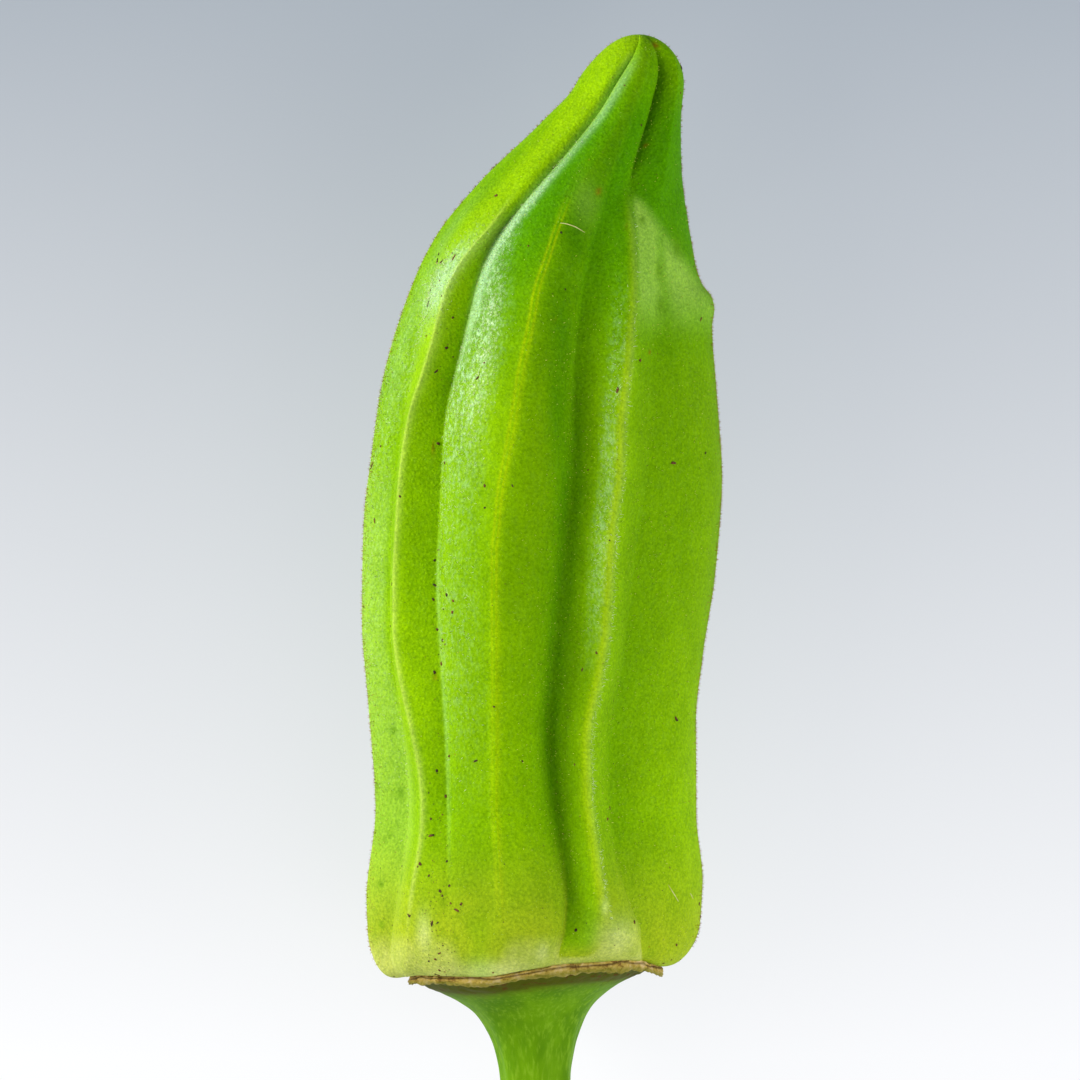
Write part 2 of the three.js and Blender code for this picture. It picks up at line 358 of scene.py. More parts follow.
def mesh_piece(
    name: str,
    points: np.ndarray,
    faces: Sequence[Sequence[int]],
    fields: Optional[Fields] = None,
) -> bpy.types.Object:
    """Makes a smooth-shaded piece from points and faces.

    Args:
        name: The piece's name.
        points: Its points in metres, one row each.
        faces: Its faces as point numbers, wound to face outwards.
        fields: Values kept at its points, by name.

    Returns:
        The new object, linked to the scene.
    """
    mesh = bpy.data.meshes.new(name)
    mesh.vertices.add(len(points))
    mesh.vertices.foreach_set("co", np.ascontiguousarray(points, np.float32).ravel())
    counts = np.array([len(f) for f in faces])
    mesh.loops.add(int(counts.sum()))
    mesh.loops.foreach_set("vertex_index", np.concatenate(faces).astype(np.int32))
    mesh.polygons.add(len(faces))
    mesh.polygons.foreach_set("loop_start", (np.cumsum(counts) - counts).astype(np.int32))
    mesh.update(calc_edges=True)
    for key, values in (fields or {}).items():
        stored = mesh.attributes.new(key, "FLOAT", "POINT")
        stored.data.foreach_set("value", values.astype(np.float32).ravel())
    mesh.shade_smooth()
    mesh.validate()
    piece = bpy.data.objects.new(name, mesh)
    bpy.context.collection.objects.link(piece)
    return piece


def lofted_faces(rows: int, columns: int) -> Faces:
    """Faces of a grid of points that is closed round its columns and at its first and last rows.

    Args:
        rows: Number of rows, along the form.
        columns: Number of columns, round it.

    Returns:
        The faces, as point numbers. The two that follow the grid's own close its ends.
    """
    first, last, top = rows * columns, rows * columns + 1, (rows - 1) * columns
    faces: Faces = []
    for a in range(0, top, columns):
        b = a + columns
        for k in range(columns):
            n = (k + 1) % columns
            faces.append((a + k, a + n, b + n, b + k))
    for k in range(columns):
        n = (k + 1) % columns
        faces += [(first, n, k), (last, top + k, top + n)]
    return faces


def ripple(points: np.ndarray, size: float, offset: float) -> np.ndarray:
    """Smooth noise of about -1 to 1, with lumps of a size; the offset moves the pattern."""
    shift = Vector((offset, -offset, 2 * offset))
    return np.array([noise.noise(Vector(p) / size + shift) for p in points])


@dataclass
class PodForm:
    """The pod's shape: where a point at a distance along and an angle round it lies.

    "left_edge" and "right_edge" are its outline from above, "depth_share" its thickness as a share
    of its width, and "ring_edge" how far the scar ring is bent along the pod at places across it.
    """

    length: float = POD_LENGTH
    shoulder_top: float = 5.0
    shoulder_reach: float = 5.2
    shoulder_inset: float = 3.5
    beak_round_start: float = 95.0
    laid_slope: float = 0.028
    ring_fade: float = 9.0
    crest_softness: float = 0.035
    largest_sine: float = 0.97
    left_edge: Curve = curve(
        (0, -17.5), (8, -17.8), (17.5, -16.8), (28, -17.5), (38, -18.3), (48, -18.1), (56, -17.2),
        (64, -15.9), (72, -13.5), (78.4, -10.6), (84.8, -5.5), (91.3, 1.2), (95, 4.5), (100.4, 6.3),
    )
    right_edge: Curve = curve(
        (0, 17.7), (10, 18.1), (17, 17.4), (27, 17.4), (34, 18.1), (43, 19.5), (53, 20.2),
        (60, 19.8), (67, 18.7), (72, 17.9), (76, 17.3), (80, 16.6), (86, 15.9), (91, 15.8),
        (95, 16.1), (100.4, 16.2),
    )
    depth_share: Curve = curve((0, 1), (60, 1), (72, 0.95), (85, 0.87), (100.4, 0.9))
    ring_edge: Curve = curve(
        (-17, -1), (-14, -0.3), (-12, 0.1), (-5.5, 0.1), (-1, 0.8), (3.3, 1.4), (7.6, 1.7),
        (9.8, 1.8), (11.5, 1.6), (14, 0.9), (17, 1.0),
    )
    stalk_x: Curve = curve((-20, 0.8), (-11, 0.3), (0, 0))
    stalk_z: Curve = curve((-20, -0.9), (-11, -0.3), (0, 0))
    shift: np.ndarray = field(default_factory=lambda: np.zeros(3))

    def round_at(self, u: np.ndarray) -> tuple[np.ndarray, np.ndarray, np.ndarray]:
        """Middle line and outer radius at u.

        Args:
            u: Places along the pod.

        Returns:
            The middle's x, the radius, and how far the beak's end has closed, 1 being open.
        """
        left, right = self.left_edge(u), self.right_edge(u)
        below = np.clip((self.shoulder_top - u) / self.shoulder_reach, 0, 1)
        above = np.clip((u - self.beak_round_start) / (self.length - self.beak_round_start), 0, 1)
        closing = np.sqrt(1 - above * above)
        radius = (right - left) / 2 - self.shoulder_inset * (1 - np.sqrt(1 - below * below))
        return (left + right) / 2, radius * closing, closing

    def line_at(self, line: PodLine, u: np.ndarray) -> Pair:
        """Angle and radius of one rib or groove.

        Args:
            line: The rib or groove.
            u: Places along the pod.

        Returns:
            Its angles in radians and its radii.
        """
        middle, radius, closing = self.round_at(u)
        bump = line.bump(u) if line.bump else 0
        reach = np.maximum(radius - line.drop(u) * closing + bump, 0)
        if line.angle:
            return np.radians(line.angle(u)), reach
        sine = (line.across(u) - middle) * closing / np.maximum(reach, 0.01)
        return np.arcsin(np.clip(sine, -self.largest_sine, self.largest_sine)), reach

    def bluntness(self, power: Union[float, Curve], u: np.ndarray) -> Number:
        """How blunt a line is at u."""
        return power(u) if isinstance(power, Curve) else power

    def soften(self, share: np.ndarray) -> np.ndarray:
        """Takes the edge off a crest or a groove, where share is near 0."""
        e = self.crest_softness
        return (np.sqrt(share**2 + e**2) - e) / (math.sqrt(1 + e**2) - e)

    def place(
        self, u: np.ndarray, angle: np.ndarray, reach: np.ndarray, on_stalk: bool
    ) -> np.ndarray:
        """Points in the part's frame.

        Args:
            u: Places along the pod.
            angle: Angles round it in radians.
            reach: Distances from its middle line.
            on_stalk: Whether the middle line is the stalk's own.

        Returns:
            The points in metres, one row each.
        """
        middle = self.stalk_x(u) if on_stalk else self.round_at(u)[0]
        depth = 1.0 if on_stalk else self.depth_share(u)
        x = middle + reach * np.sin(angle)
        near_ring = 1 - smooth(0, self.ring_fade, np.abs(u))
        y = u + near_ring * self.ring_edge(x)
        z = reach * np.cos(angle) * depth + self.stalk_z(u) + self.laid_slope * u
        return np.stack([x, y, z], -1) * MM + self.shift

    def settle(self, points: np.ndarray) -> None:
        """Moves the form so that the pod's skin fills the same box as the solid.

        Args:
            points: The skin's points, placed with no shift yet.
        """
        low, high = (np.array(corner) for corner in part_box(NODE))
        self.shift = high - points.max(0)
        self.shift[0] = (low[0] + high[0] - points[:, 0].min() - points[:, 0].max()) / 2


class Signal:
    """A shader value that can be used in Python sums."""

    def __init__(self, sketch: "NodeSketch", socket: bpy.types.NodeSocket) -> None:
        """Keeps the sketch that the value belongs to and its socket."""
        self.sketch = sketch
        self.socket = socket

    def _math(self, operation: str, *values: "Value", clamp: bool = False) -> "Signal":
        """Adds one Math node; clamp keeps its result between 0 and 1."""
        settings = {"operation": operation, "use_clamp": clamp}
        return self.sketch.node("ShaderNodeMath", settings, dict(enumerate(values)))

    def __add__(self, other: "Value") -> "Signal":
        """Sum."""
        return self._math("ADD", self, other)

    __radd__ = __add__

    def __mul__(self, other: "Value") -> "Signal":
        """Product."""
        return self._math("MULTIPLY", self, other)

    __rmul__ = __mul__

    def __sub__(self, other: "Value") -> "Signal":
        """Difference."""
        return self._math("SUBTRACT", self, other)

    def __rsub__(self, other: "Value") -> "Signal":
        """Difference, with this value taken away."""
        return self._math("SUBTRACT", other, self)

    def __pow__(self, other: "Value") -> "Signal":
        """Power."""
        return self._math("POWER", self, other)

    def kept(self) -> "Signal":
        """The value kept between 0 and 1."""
        return self._math("ADD", self, 0.0, clamp=True)

    def step(self, low: float, high: float, kind: str = "SMOOTHSTEP") -> "Signal":
        """Step from 0 at low to 1 at high, or the other way round if low is the larger.

        Args:
            low: Where the result is 0.
            high: Where the result is 1.
            kind: The step's shape.

        Returns:
            The step's height.
        """
        settings = {"interpolation_type": kind}
        inputs = {"Value": self, "From Min": low, "From Max": high}
        return self.sketch.node("ShaderNodeMapRange", settings, inputs, "Result")


Value = Union[Signal, float, int, Sequence[float]]
Inputs = dict[Union[str, int], Value]


class NodeSketch:
    """Builds one material's nodes."""

    def __init__(self, name: str) -> None:
        """Starts an empty node material.

        Args:
            name: The material's name.
        """
        self.material = bpy.data.materials.new(name)
        self.material.use_nodes = True
        self.tree = self.material.node_tree
        self.tree.nodes.clear()

    def node(
        self,
        kind: str,
        settings: Optional[dict[str, object]] = None,
        inputs: Optional[Inputs] = None,
        output: Union[str, int] = 0,
    ) -> Signal:
        """Adds a node.

        Args:
            kind: The node's type.
            settings: Its properties, which are set first.
            inputs: Values or links of its sockets, by name or number.
            output: The socket that the result is read from.

        Returns:
            The chosen output.
        """
        made = self.tree.nodes.new(kind)
        for key, value in (settings or {}).items():
            setattr(made, key, value)
        for key, value in (inputs or {}).items():
            self.feed(made.inputs[key], value)
        return Signal(self, made.outputs[output])

    def feed(self, socket: bpy.types.NodeSocket, value: Value) -> None:
        """Links a value to a socket or sets it there.

        Args:
            socket: The socket.
            value: A signal, a number, a vector or a colour.
        """
        if isinstance(value, Signal):
            self.tree.links.new(value.socket, socket)
        elif socket.type == "RGBA" and len(value) == 3:
            socket.default_value = (*value, 1)
        else:
            socket.default_value = value

    def stored(self, *names: str) -> list[Signal]:
        """Values kept at the piece's points."""
        kind = "ShaderNodeAttribute"
        return [self.node(kind, {"attribute_name": name}, output="Fac") for name in names]

    def place(self, scale: Sequence[float] = (1, 1, 1)) -> Signal:
        """Object coordinates, stretched by a scale."""
        coordinates = self.node("ShaderNodeTexCoord", output="Object")
        return self.node("ShaderNodeMapping", {}, {"Vector": coordinates, "Scale": scale})

    def lumps(
        self, size: float, detail: float = 2.0, rough: float = 0.5, stretch: float = 1.0
    ) -> Signal:
        """Soft noise with lumps of a size.

        Args:
            size: The lumps' width in millimetres.
            detail: How many finer layers it has.
            rough: How strong those are.
            stretch: How much longer the lumps are along the pod.

        Returns:
            Noise between 0 and 1.
        """
        inputs: Inputs = {"Vector": self.place((1, 1 / stretch, 1)), "Scale": 1 / (size * MM)}
        inputs |= {"Detail": detail, "Roughness": rough}
        return self.node("ShaderNodeTexNoise", {}, inputs, "Fac")

    def cells(self, size: float) -> Signal:
        """Distance to the nearest of many points that are a size apart, in shares of it."""
        inputs = {"Vector": self.place(), "Scale": 1 / (size * MM), "Randomness": 1.0}
        return self.node("ShaderNodeTexVoronoi", {"feature": "F1"}, inputs, "Distance")

    def blend(self, share: Value, low: Value, high: Value, mode: str = "MIX") -> Signal:
        """Mixes two colours.

        Args:
            share: How much of the second there is.
            low: The first colour.
            high: The second colour.
            mode: How the second goes on the first.

        Returns:
            The mixed colour.
        """
        made = self.tree.nodes.new("ShaderNodeMix")
        made.data_type, made.blend_type, made.clamp_factor = "RGBA", mode, True
        for number, value in ((0, share), (6, low), (7, high)):
            self.feed(made.inputs[number], value)
        return Signal(self, made.outputs[2])

    def bumps(self, height: Signal, depth: float, below: Optional[Signal] = None) -> Signal:
        """Turns a height into a bumpy normal.

        Args:
            height: The height, in shares of the depth.
            depth: The height's full size in millimetres.
            below: A normal that it is laid over.

        Returns:
            The normal.
        """
        inputs: Inputs = {"Height": height, "Distance": depth * MM, "Strength": 1.0}
        if below:
            inputs["Normal"] = below
        return self.node("ShaderNodeBump", {}, inputs, "Normal")

    def finish(self, inputs: Inputs) -> bpy.types.Material:
        """Ends the material in one surface shader.

        Args:
            inputs: The shader's sockets.

        Returns:
            The finished material.
        """
        shader = self.node("ShaderNodeBsdfPrincipled", {}, inputs, "BSDF")
        end = self.tree.nodes.new("ShaderNodeOutputMaterial")
        self.feed(end.inputs["Surface"], shader)
        return self.material


@dataclass(frozen=True)
class SkinFinish:
    """Fresh green skin: pale veins and base, painted shade in grooves, fine grain, a soft sheen."""

    flank: Colour = tone(121, 172, 0)
    # A lit copy of the flank tone, for painted light.
    lit_flank: Colour = tone(142, 190, 4)
    # Painted shade laid in the grooves, stronger where they are deeper.
    groove: Colour = tone(72, 132, 0)
    crest: Colour = tone(140, 188, 6)
    vein: Colour = tone(196, 214, 112)
    yellow: Colour = tone(158, 188, 4)
    base: Colour = tone(160, 176, 34)
    cream: Colour = tone(200, 210, 124)
    beak: Colour = tone(80, 148, 0)
    # Dark spots on the skin, also painted shade under the bump.
    spot: Colour = tone(96, 146, 16)
    # Painted shade along the creased line near the tip.
    crease: Colour = tone(52, 100, 4)
    rust: Colour = tone(132, 92, 14)
    # Pale waxy tone of the pale patches, also used for painted sheen.
    bloom_and_sheen: Colour = tone(156, 202, 78)
    # Painted highlight, a whitish green.
    painted_highlight: Colour = tone(184, 228, 178)
    # Painted shade in a duller green.
    olive: Colour = tone(96, 142, 0)
    grain: float = 0.38
    roughness: float = 0.66

    def material(self) -> bpy.types.Material:
        """Makes the material.

        Returns:
            The skin's material.
        """
        s = NodeSketch("okra_skin")
        crest, groove, vein, spot, pale, rust, yellow, gloss = s.stored(
            "crest", "groove", "vein", "spot", "pale", "rust", "yellow", "gloss"
        )
        crease, cream, lip, deep, young, olive, milk = s.stored(
            "crease", "cream", "lip", "deep", "young", "olive", "milk"
        )
        broad = s.lumps(9, 3, 0.55, 2.2)
        patch = s.lumps(2.6, 3, 0.6, 1.6)
        fine = s.lumps(0.42, 2, 0.6)
        grain = s.cells(self.grain)
        papilla = grain.step(0.62, 0.1)
        # Painted light: the lit flank tone on the outer flanks and near the beak; random broad
        # patches take it too.
        colour = s.blend((broad * 1.5 - 0.5 + young).kept(), self.flank, self.lit_flank)
        colour = s.blend(deep, colour, self.beak)
        # Painted shade: a duller green on some flanks and low places.
        colour = s.blend((olive * (0.7 + patch * 0.6)).kept(), colour, self.olive)
        # Painted shade: the grooves darken with their depth, and beside the deep groove.
        colour = s.blend((groove**2.3 * (0.75 + patch * 0.4)).kept(), colour, self.groove)
        share = (crest * (0.25 + patch * 0.4) * (1 - deep * 0.7)).kept()
        colour = s.blend(share, colour, self.crest)
        # Painted highlight: whitish granules where the skin is glossy, and a faint trace
        # everywhere.
        painted_highlight = s.lumps(0.6, 4, 0.8, 1.6).step(0.46, 0.66)
        colour = s.blend((painted_highlight * (gloss * 0.85 + 0.01)).kept(), colour, self.painted_highlight)
        # Painted sheen: by the bump, on the left panel and on a shaded groove wall near the beak.
        colour = s.blend((milk * (0.55 + broad * 0.5)).kept(), colour, self.bloom_and_sheen)
        colour = s.blend((yellow * (0.55 + fine * 0.6)).kept(), colour, self.yellow)
        colour = s.blend((cream * (0.6 + patch * 0.6)).kept(), colour, self.base)
        colour = s.blend((cream.step(0.8, 1) * (0.05 + patch * 0.8)).kept(), colour, self.cream)
        colour = s.blend((vein * (0.35 + fine * 0.5)).kept(), colour, self.vein)
        share = (pale * (0.45 + patch * 1.1)).kept()
        colour = s.blend(share, colour, s.blend(cream, self.bloom_and_sheen, self.cream))
        # Painted highlight along the second groove, by the second rib and at the left edge.
        colour = s.blend((lip * (0.75 + papilla * 0.3)).kept(), colour, self.painted_highlight)
        # Dark spots, and painted shade under the bump.
        colour = s.blend(spot * 0.75, colour, self.spot)
        # Painted shade along the creased line near the tip.
        colour = s.blend((crease * (0.35 + patch * 0.6)).kept(), colour, self.crease)
        freckle = s.cells(2.3).step(0.075, 0.03) * s.lumps(14, 1).step(0.52, 0.62)
        colour = s.blend((rust * (0.4 + fine * 0.7) + freckle * 0.5).kept(), colour, self.rust)
        grain_tone = s.lumps(0.34, 3, 0.8) * 2.6 + patch * 0.8 + papilla * 0.15 - 1.26
        grey = s.blend(grain_tone.kept(), (0.3, 0.42, 0.3), (1.6, 1.5, 1.3))
        colour = s.blend(0.46, colour, grey, "MULTIPLY")
        normal = s.bumps(papilla * (gloss * 0.5 + 0.45) + fine * 0.6, 0.09, s.bumps(patch, 0.12))
        return s.finish(
            {
                "Base Color": colour,
                "Roughness": (self.roughness + fine * 0.1 - gloss * (0.1 + patch * 0.36)).kept(),
                "Specular IOR Level": 0.05,
                "Specular Tint": (0.5, 1.0, 0.1),
                "Subsurface Weight": 0.15,
                "Subsurface Radius": (0.9, 1.0, 0.1),
                "Subsurface Scale": 0.0009,
                "Coat Weight": (gloss * (patch * 1.6 - 0.1) * (0.15 + papilla * 1.3)).kept(),
                "Coat Roughness": 0.36,
                "Coat IOR": 1.65,
                "Normal": normal,
            }
        )


@dataclass(frozen=True)
class CorkFinish:
    """Dry tan cork of the scar ring, dark in its crack."""

    tan: Colour = tone(190, 162, 74)
    dry: Colour = tone(216, 190, 136)
    brown: Colour = tone(118, 80, 28)
    crack: Colour = tone(60, 36, 12)
    green: Colour = tone(108, 114, 8)

    def material(self) -> bpy.types.Material:
        """Makes the material.

        Returns:
            The ring's material.
        """
        s = NodeSketch("scar_cork")
        crack, low = s.stored("crack", "low")
        streak = s.lumps(1.6, 5, 0.8)
        fibre = s.lumps(0.22, 3, 0.6)
        colour = s.blend(streak.step(0.5, 0.34), self.tan, self.dry)
        colour = s.blend(streak.step(0.5, 0.6) * 0.9, colour, self.brown)
        colour = s.blend((low * (0.25 + streak * 0.9)).kept(), colour, self.green)
        colour = s.blend((crack * (0.4 + streak)).kept(), colour, self.crack)
        colour = s.blend(0.4, colour, s.blend(fibre, (0.5, 0.5, 0.5), (1.4, 1.4, 1.4)), "MULTIPLY")
        return s.finish(
            {
                "Base Color": colour,
                "Roughness": 0.78,
                "Specular IOR Level": 0.25,
                "Normal": s.bumps(fibre * 0.6 + streak * 0.4, 0.12),
            }
        )


@dataclass(frozen=True)
class StalkFinish:
    """Green of the cap and the stalk, with long fibres, a bruised rim and a pale cut face."""

    green: Colour = tone(104, 152, 8)
    deep: Colour = tone(80, 128, 4)
    rim: Colour = tone(74, 80, 2)
    bruise: Colour = tone(84, 54, 12)
    cut: Colour = tone(196, 208, 138)
    pith: Colour = tone(226, 228, 186)
    dry: Colour = tone(140, 112, 62)
    vein: Colour = tone(146, 186, 48)

    def material(self) -> bpy.types.Material:
        """Makes the material.

        Returns:
            The material of the cap and the stalk.
        """
        s = NodeSketch("stalk_green")
        rim, cut, core = s.stored("rim", "cut", "core")
        broad = s.lumps(3.2, 3, 0.6, 2.5)
        fibre = s.lumps(0.4, 3, 0.6, 9)
        fine = s.lumps(0.3, 2, 0.6)
        colour = s.blend(broad.step(0.3, 0.7), self.deep, self.green)
        colour = s.blend(fibre.step(0.45, 0.75) * 0.4, colour, self.vein)
        colour = s.blend((rim * (0.8 + broad)).kept(), colour, self.rim)
        bruised = s.lumps(1.1, 3, 0.7).step(0.56, 0.66)
        colour = s.blend((rim * bruised * 0.8).kept(), colour, self.bruise)
        face = s.blend(core, self.cut, self.pith)
        face = s.blend(fine.step(0.5, 0.72) * 0.5, face, self.dry)
        colour = s.blend(cut, colour, face)
        return s.finish(
            {
                "Base Color": colour,
                "Roughness": (0.6 + fine * 0.15 + cut * 0.2).kept(),
                "Specular IOR Level": 0.1,
                "Specular Tint": (0.7, 1.0, 0.4),
                "Subsurface Weight": 0.12,
                "Subsurface Radius": (0.9, 1.0, 0.3),
                "Subsurface Scale": 0.0009,
                "Normal": s.bumps(fibre * 0.7 + fine * 0.3, 0.06),
            }
        )


@dataclass(frozen=True)
class PlainFinish:
    """One tone with a little unevenness, for hairs, specks and strands."""

    name: str
    light: Colour
    dark: Colour
    size: float
    roughness: float

    def material(self) -> bpy.types.Material:
        """Makes the material.

        Returns:
            A softly uneven material.
        """
        s = NodeSketch(self.name)
        colour = s.blend(s.lumps(self.size, 2).step(0.35, 0.65), self.light, self.dark)
        finish = {"Base Color": colour, "Roughness": self.roughness, "Specular IOR Level": 0.3}
        return s.finish(finish)


HAIR = PlainFinish("green_hair", tone(186, 216, 84), tone(140, 188, 30), 4.0, 0.5)
WHITE_HAIR = PlainFinish("white_hair", tone(228, 240, 196), tone(190, 222, 130), 3.0, 0.4)
BROWN_HAIR = PlainFinish("brown_hair", tone(176, 140, 56), tone(140, 100, 30), 2.0, 0.6)
GOLD_HAIR = PlainFinish("gold_hair", tone(214, 226, 90), tone(166, 200, 30), 2.0, 0.5)
SPECK = PlainFinish("dark_speck", tone(46, 32, 14), tone(112, 70, 26), 0.8, 0.75)
STRAND = PlainFinish("loose_strand", tone(222, 222, 150), tone(196, 190, 110), 1.0, 0.5)


def dress(piece: bpy.types.Object, material: bpy.types.Material) -> bpy.types.Object:
    """Gives a piece its finish and its body, and hides the CAD node that it stands for.

    Args:
        piece: The finished mesh object.
        material: Its only material.

    Returns:
        The same piece.
    """
    piece.data.materials.clear()
    piece.data.materials.append(material)
    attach(piece, BODY)
    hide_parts(NODE)
    LOG.info("%s: %d faces", piece.name, len(piece.data.polygons))
    return piece


@dataclass(frozen=True)
class Zone:
    """A soft-edged zone of the upper skin, between lines of the pod and along a stretch of it.

    "right_of" and "left_of" name a line and the two distances from it between which the zone comes
    in. "rise" and "fall" are where it comes in along the pod and where it goes out again.
    """

    strength: float
    right_of: Optional[Edge] = None
    left_of: Optional[Edge] = None
    rise: Optional[Ends] = None
    fall: Optional[Ends] = None

    def mask(self, points: np.ndarray) -> np.ndarray:
        """How much of the zone there is at points.

        Args:
            points: The skin's points in the form's own millimetres.

        Returns:
            A mask of 0 to the zone's strength.
        """
        share = self.strength * span(points[:, 1], self.rise, self.fall)
        for edge, side in ((self.right_of, 1), (self.left_of, -1)):
            if edge:
                name, start, full = edge
                share = share * smooth(start, full, side * past(name, points))
        return share


def zoned(zones: Sequence[Zone], points: np.ndarray) -> np.ndarray:
    """Sum of the masks of several zones at points in the form's own millimetres."""
    return sum((zone.mask(points) for zone in zones), np.zeros(len(points)))


@dataclass(frozen=True)
class LineMarks:
    """How wide the marks on ribs and grooves are, and where along the pod they show.

    A pair for a mark beside a crest is its distance from the crest and its width.
    """

    vein: float = 0.36
    crest: float = 0.9
    crease: float = 0.28
    full_groove: float = 4.0
    band: Ends = (0.45, 0.32)
    twin: Ends = (0.26, 0.12)
    fringe: Ends = (0.15, 0.14)
    rise: Ends = (2, 9)
    fall: Ends = (79, 84)
    band_thins: Ends = (58, 76)
    fringe_thins: Ends = (44, 56)
    crease_rises: Ends = (83.5, 87)


@dataclass
class PodSkin:
    """The ribbed skin from the scar ring to the tip of the beak.

    A mark's four numbers are its x, its distance along the pod, its radius and how long it is for
    its width. Each zone table and each method named after a look says where the skin has it.
    """

    form: PodForm
    finish: SkinFinish = SkinFinish()
    lines: LineMarks = LineMarks()
    front_columns: int = 20
    rear_columns: int = 8
    body_rows: int = 260
    shoulder_rows: int = 16
    tip_rows: int = 18
    crowding: float = 0.55
    waviness: float = 0.16
    fine_waviness: float = 0.05
    ring_end: float = 0.6
    # Dark spots on the skin; the one at 19.2, 70.4 is painted shade under the bump.
    spots_and_bump_shade: Marks = (
        (-15.0, 26.0, 0.5, 1), (-16.6, 20.1, 0.45, 1), (-14.2, 19.4, 0.55, 1), (-16.3, 9.5, 0.4, 1),
        (-14.1, 10.3, 0.6, 1), (-15.4, 14.8, 0.35, 1), (-16.2, 5.2, 0.4, 1), (19.2, 70.4, 1.0, 1.3),
        (13.3, 74.9, 0.6, 2.2), (13.6, 71.2, 0.6, 1.6), (11.6, 80.3, 0.4, 1.2),
        (15.4, 77.4, 0.7, 1.6),
    )
    # Painted shade beside the deep groove, added to the grooves' painted shade.
    shaded: Marks = (
        (3.1, 68.5, 2.1, 3.6), (4.6, 78.5, 1.4, 3.0), (2.6, 60.0, 1.6, 4.0), (3.4, 50.0, 2.8, 5.0),
        (2.7, 34.0, 1.9, 5.0), (1.9, 21.0, 1.5, 4.0),
    )
    pale_patches: Marks = (
        (9.0, 4.2, 2.1, 0.9), (7.6, 7.4, 0.4, 2.2), (0.9, 2.4, 0.6, 2.0), (-11.6, 4.6, 0.8, 2.4),
        (-4.5, 0.4, 4.5, 0.26),
    )
    rust_marks: Marks = (
        (13.1, 99.2, 0.4, 0.8), (-10.4, 31.8, 0.24, 1), (12.0, 88.4, 0.26, 0.8),
        (7.0, 83.4, 0.3, 1.2), (-10.6, 56.0, 0.14, 5), (9.9, 79.6, 0.16, 1), (2.2, 69.6, 0.14, 1),
        (12.4, 66.3, 0.2, 1),
    )
    # Waxy coat and painted highlight beside the second and fourth ribs.
    gloss_highlight_zones: tuple[Zone, ...] = (
        Zone(0.22, left_of=("second rib", 0.6, 1.6), rise=(10, 40), fall=(64, 80)),
        Zone(0.35, ("fourth rib", -3, -1.6), ("fourth rib", 0.4, 0.9), (30, 44), (64, 76)),
    )
    # Painted shade in a duller green, on the flanks between these lines.
    shade_zones: tuple[Zone, ...] = (
        Zone(0.42, ("middle rib", 0.2, 0.7), ("deep groove", -0.3, 0.8), rise=(20, 46)),
        Zone(0.34, right_of=("fourth rib", 0.4, 2), rise=(18, 40), fall=(62, 72)),
        Zone(0.5, ("deep groove", 0.8, 2.2), ("fourth rib", 0.4, 1), (8, 16), (30, 40)),
        Zone(0.25, ("second groove", 0.3, 1.5), ("middle rib", 0, 1), (10, 18), (34, 46)),
    )
    # Painted sheen on the left panel.
    sheen_zones: tuple[Zone, ...] = (
        Zone(0.5, left_of=("second rib", 0.5, 1.5), rise=(0, 6), fall=(46, 58)),
    )
    # Painted light beside the second groove near the beak.
    beak_light_zones: tuple[Zone, ...] = (
        Zone(1.0, ("second groove", -6, -3), ("second groove", -0.3, 0.2), rise=(60, 70)),
    )

    def rows(self) -> np.ndarray:
        """Places of the rows along the pod.

        Returns:
            Distances from the ring to just short of the tip.
        """
        f = self.form
        turn = np.linspace(1, 0, self.shoulder_rows, endpoint=False)
        shoulder = f.shoulder_top - f.shoulder_reach * np.sin(np.pi / 2 * turn)
        body = np.linspace(f.shoulder_top, f.beak_round_start, self.body_rows, endpoint=False)
        end = np.sin(np.pi / 2 * np.linspace(0, 1, self.tip_rows, endpoint=False))
        beak = f.beak_round_start + (f.length - f.beak_round_start) * end
        return np.concatenate([shoulder, body, beak])

    def flank(self, i: int, placed: Sequence[Pair], u: np.ndarray) -> dict[str, list[np.ndarray]]:
        """Columns of the flank between one rib or groove and the next.

        Args:
            i: The first line's number.
            placed: Each line's angles and radii.
            u: The rows' places.

        Returns:
            One array for each column, by name: its angle, its radius and its masks.
        """
        marks, line, other = self.lines, POD_LINES[i], (i + 1) % len(POD_LINES)
        neighbour = POD_LINES[other]
        turn = placed[other][0] - placed[i][0] + (2 * np.pi if other == 0 else 0)
        falling = line.kind is Kind.RIB
        high, low = placed[i][1], placed[other][1]
        crest_power = self.form.bluntness(line.after, u)
        groove_power = self.form.bluntness(neighbour.before, u)
        rib, hollow = line, neighbour
        if not falling:
            high, low, rib, hollow = low, high, hollow, rib
            crest_power, groove_power = groove_power, crest_power
        along = span(u, marks.rise, marks.fall)
        thinned = 1 - 0.6 * smooth(*marks.band_thins, u)
        fringe_along = rib.fringe * falling * (1 - 0.7 * smooth(*marks.fringe_thins, u))
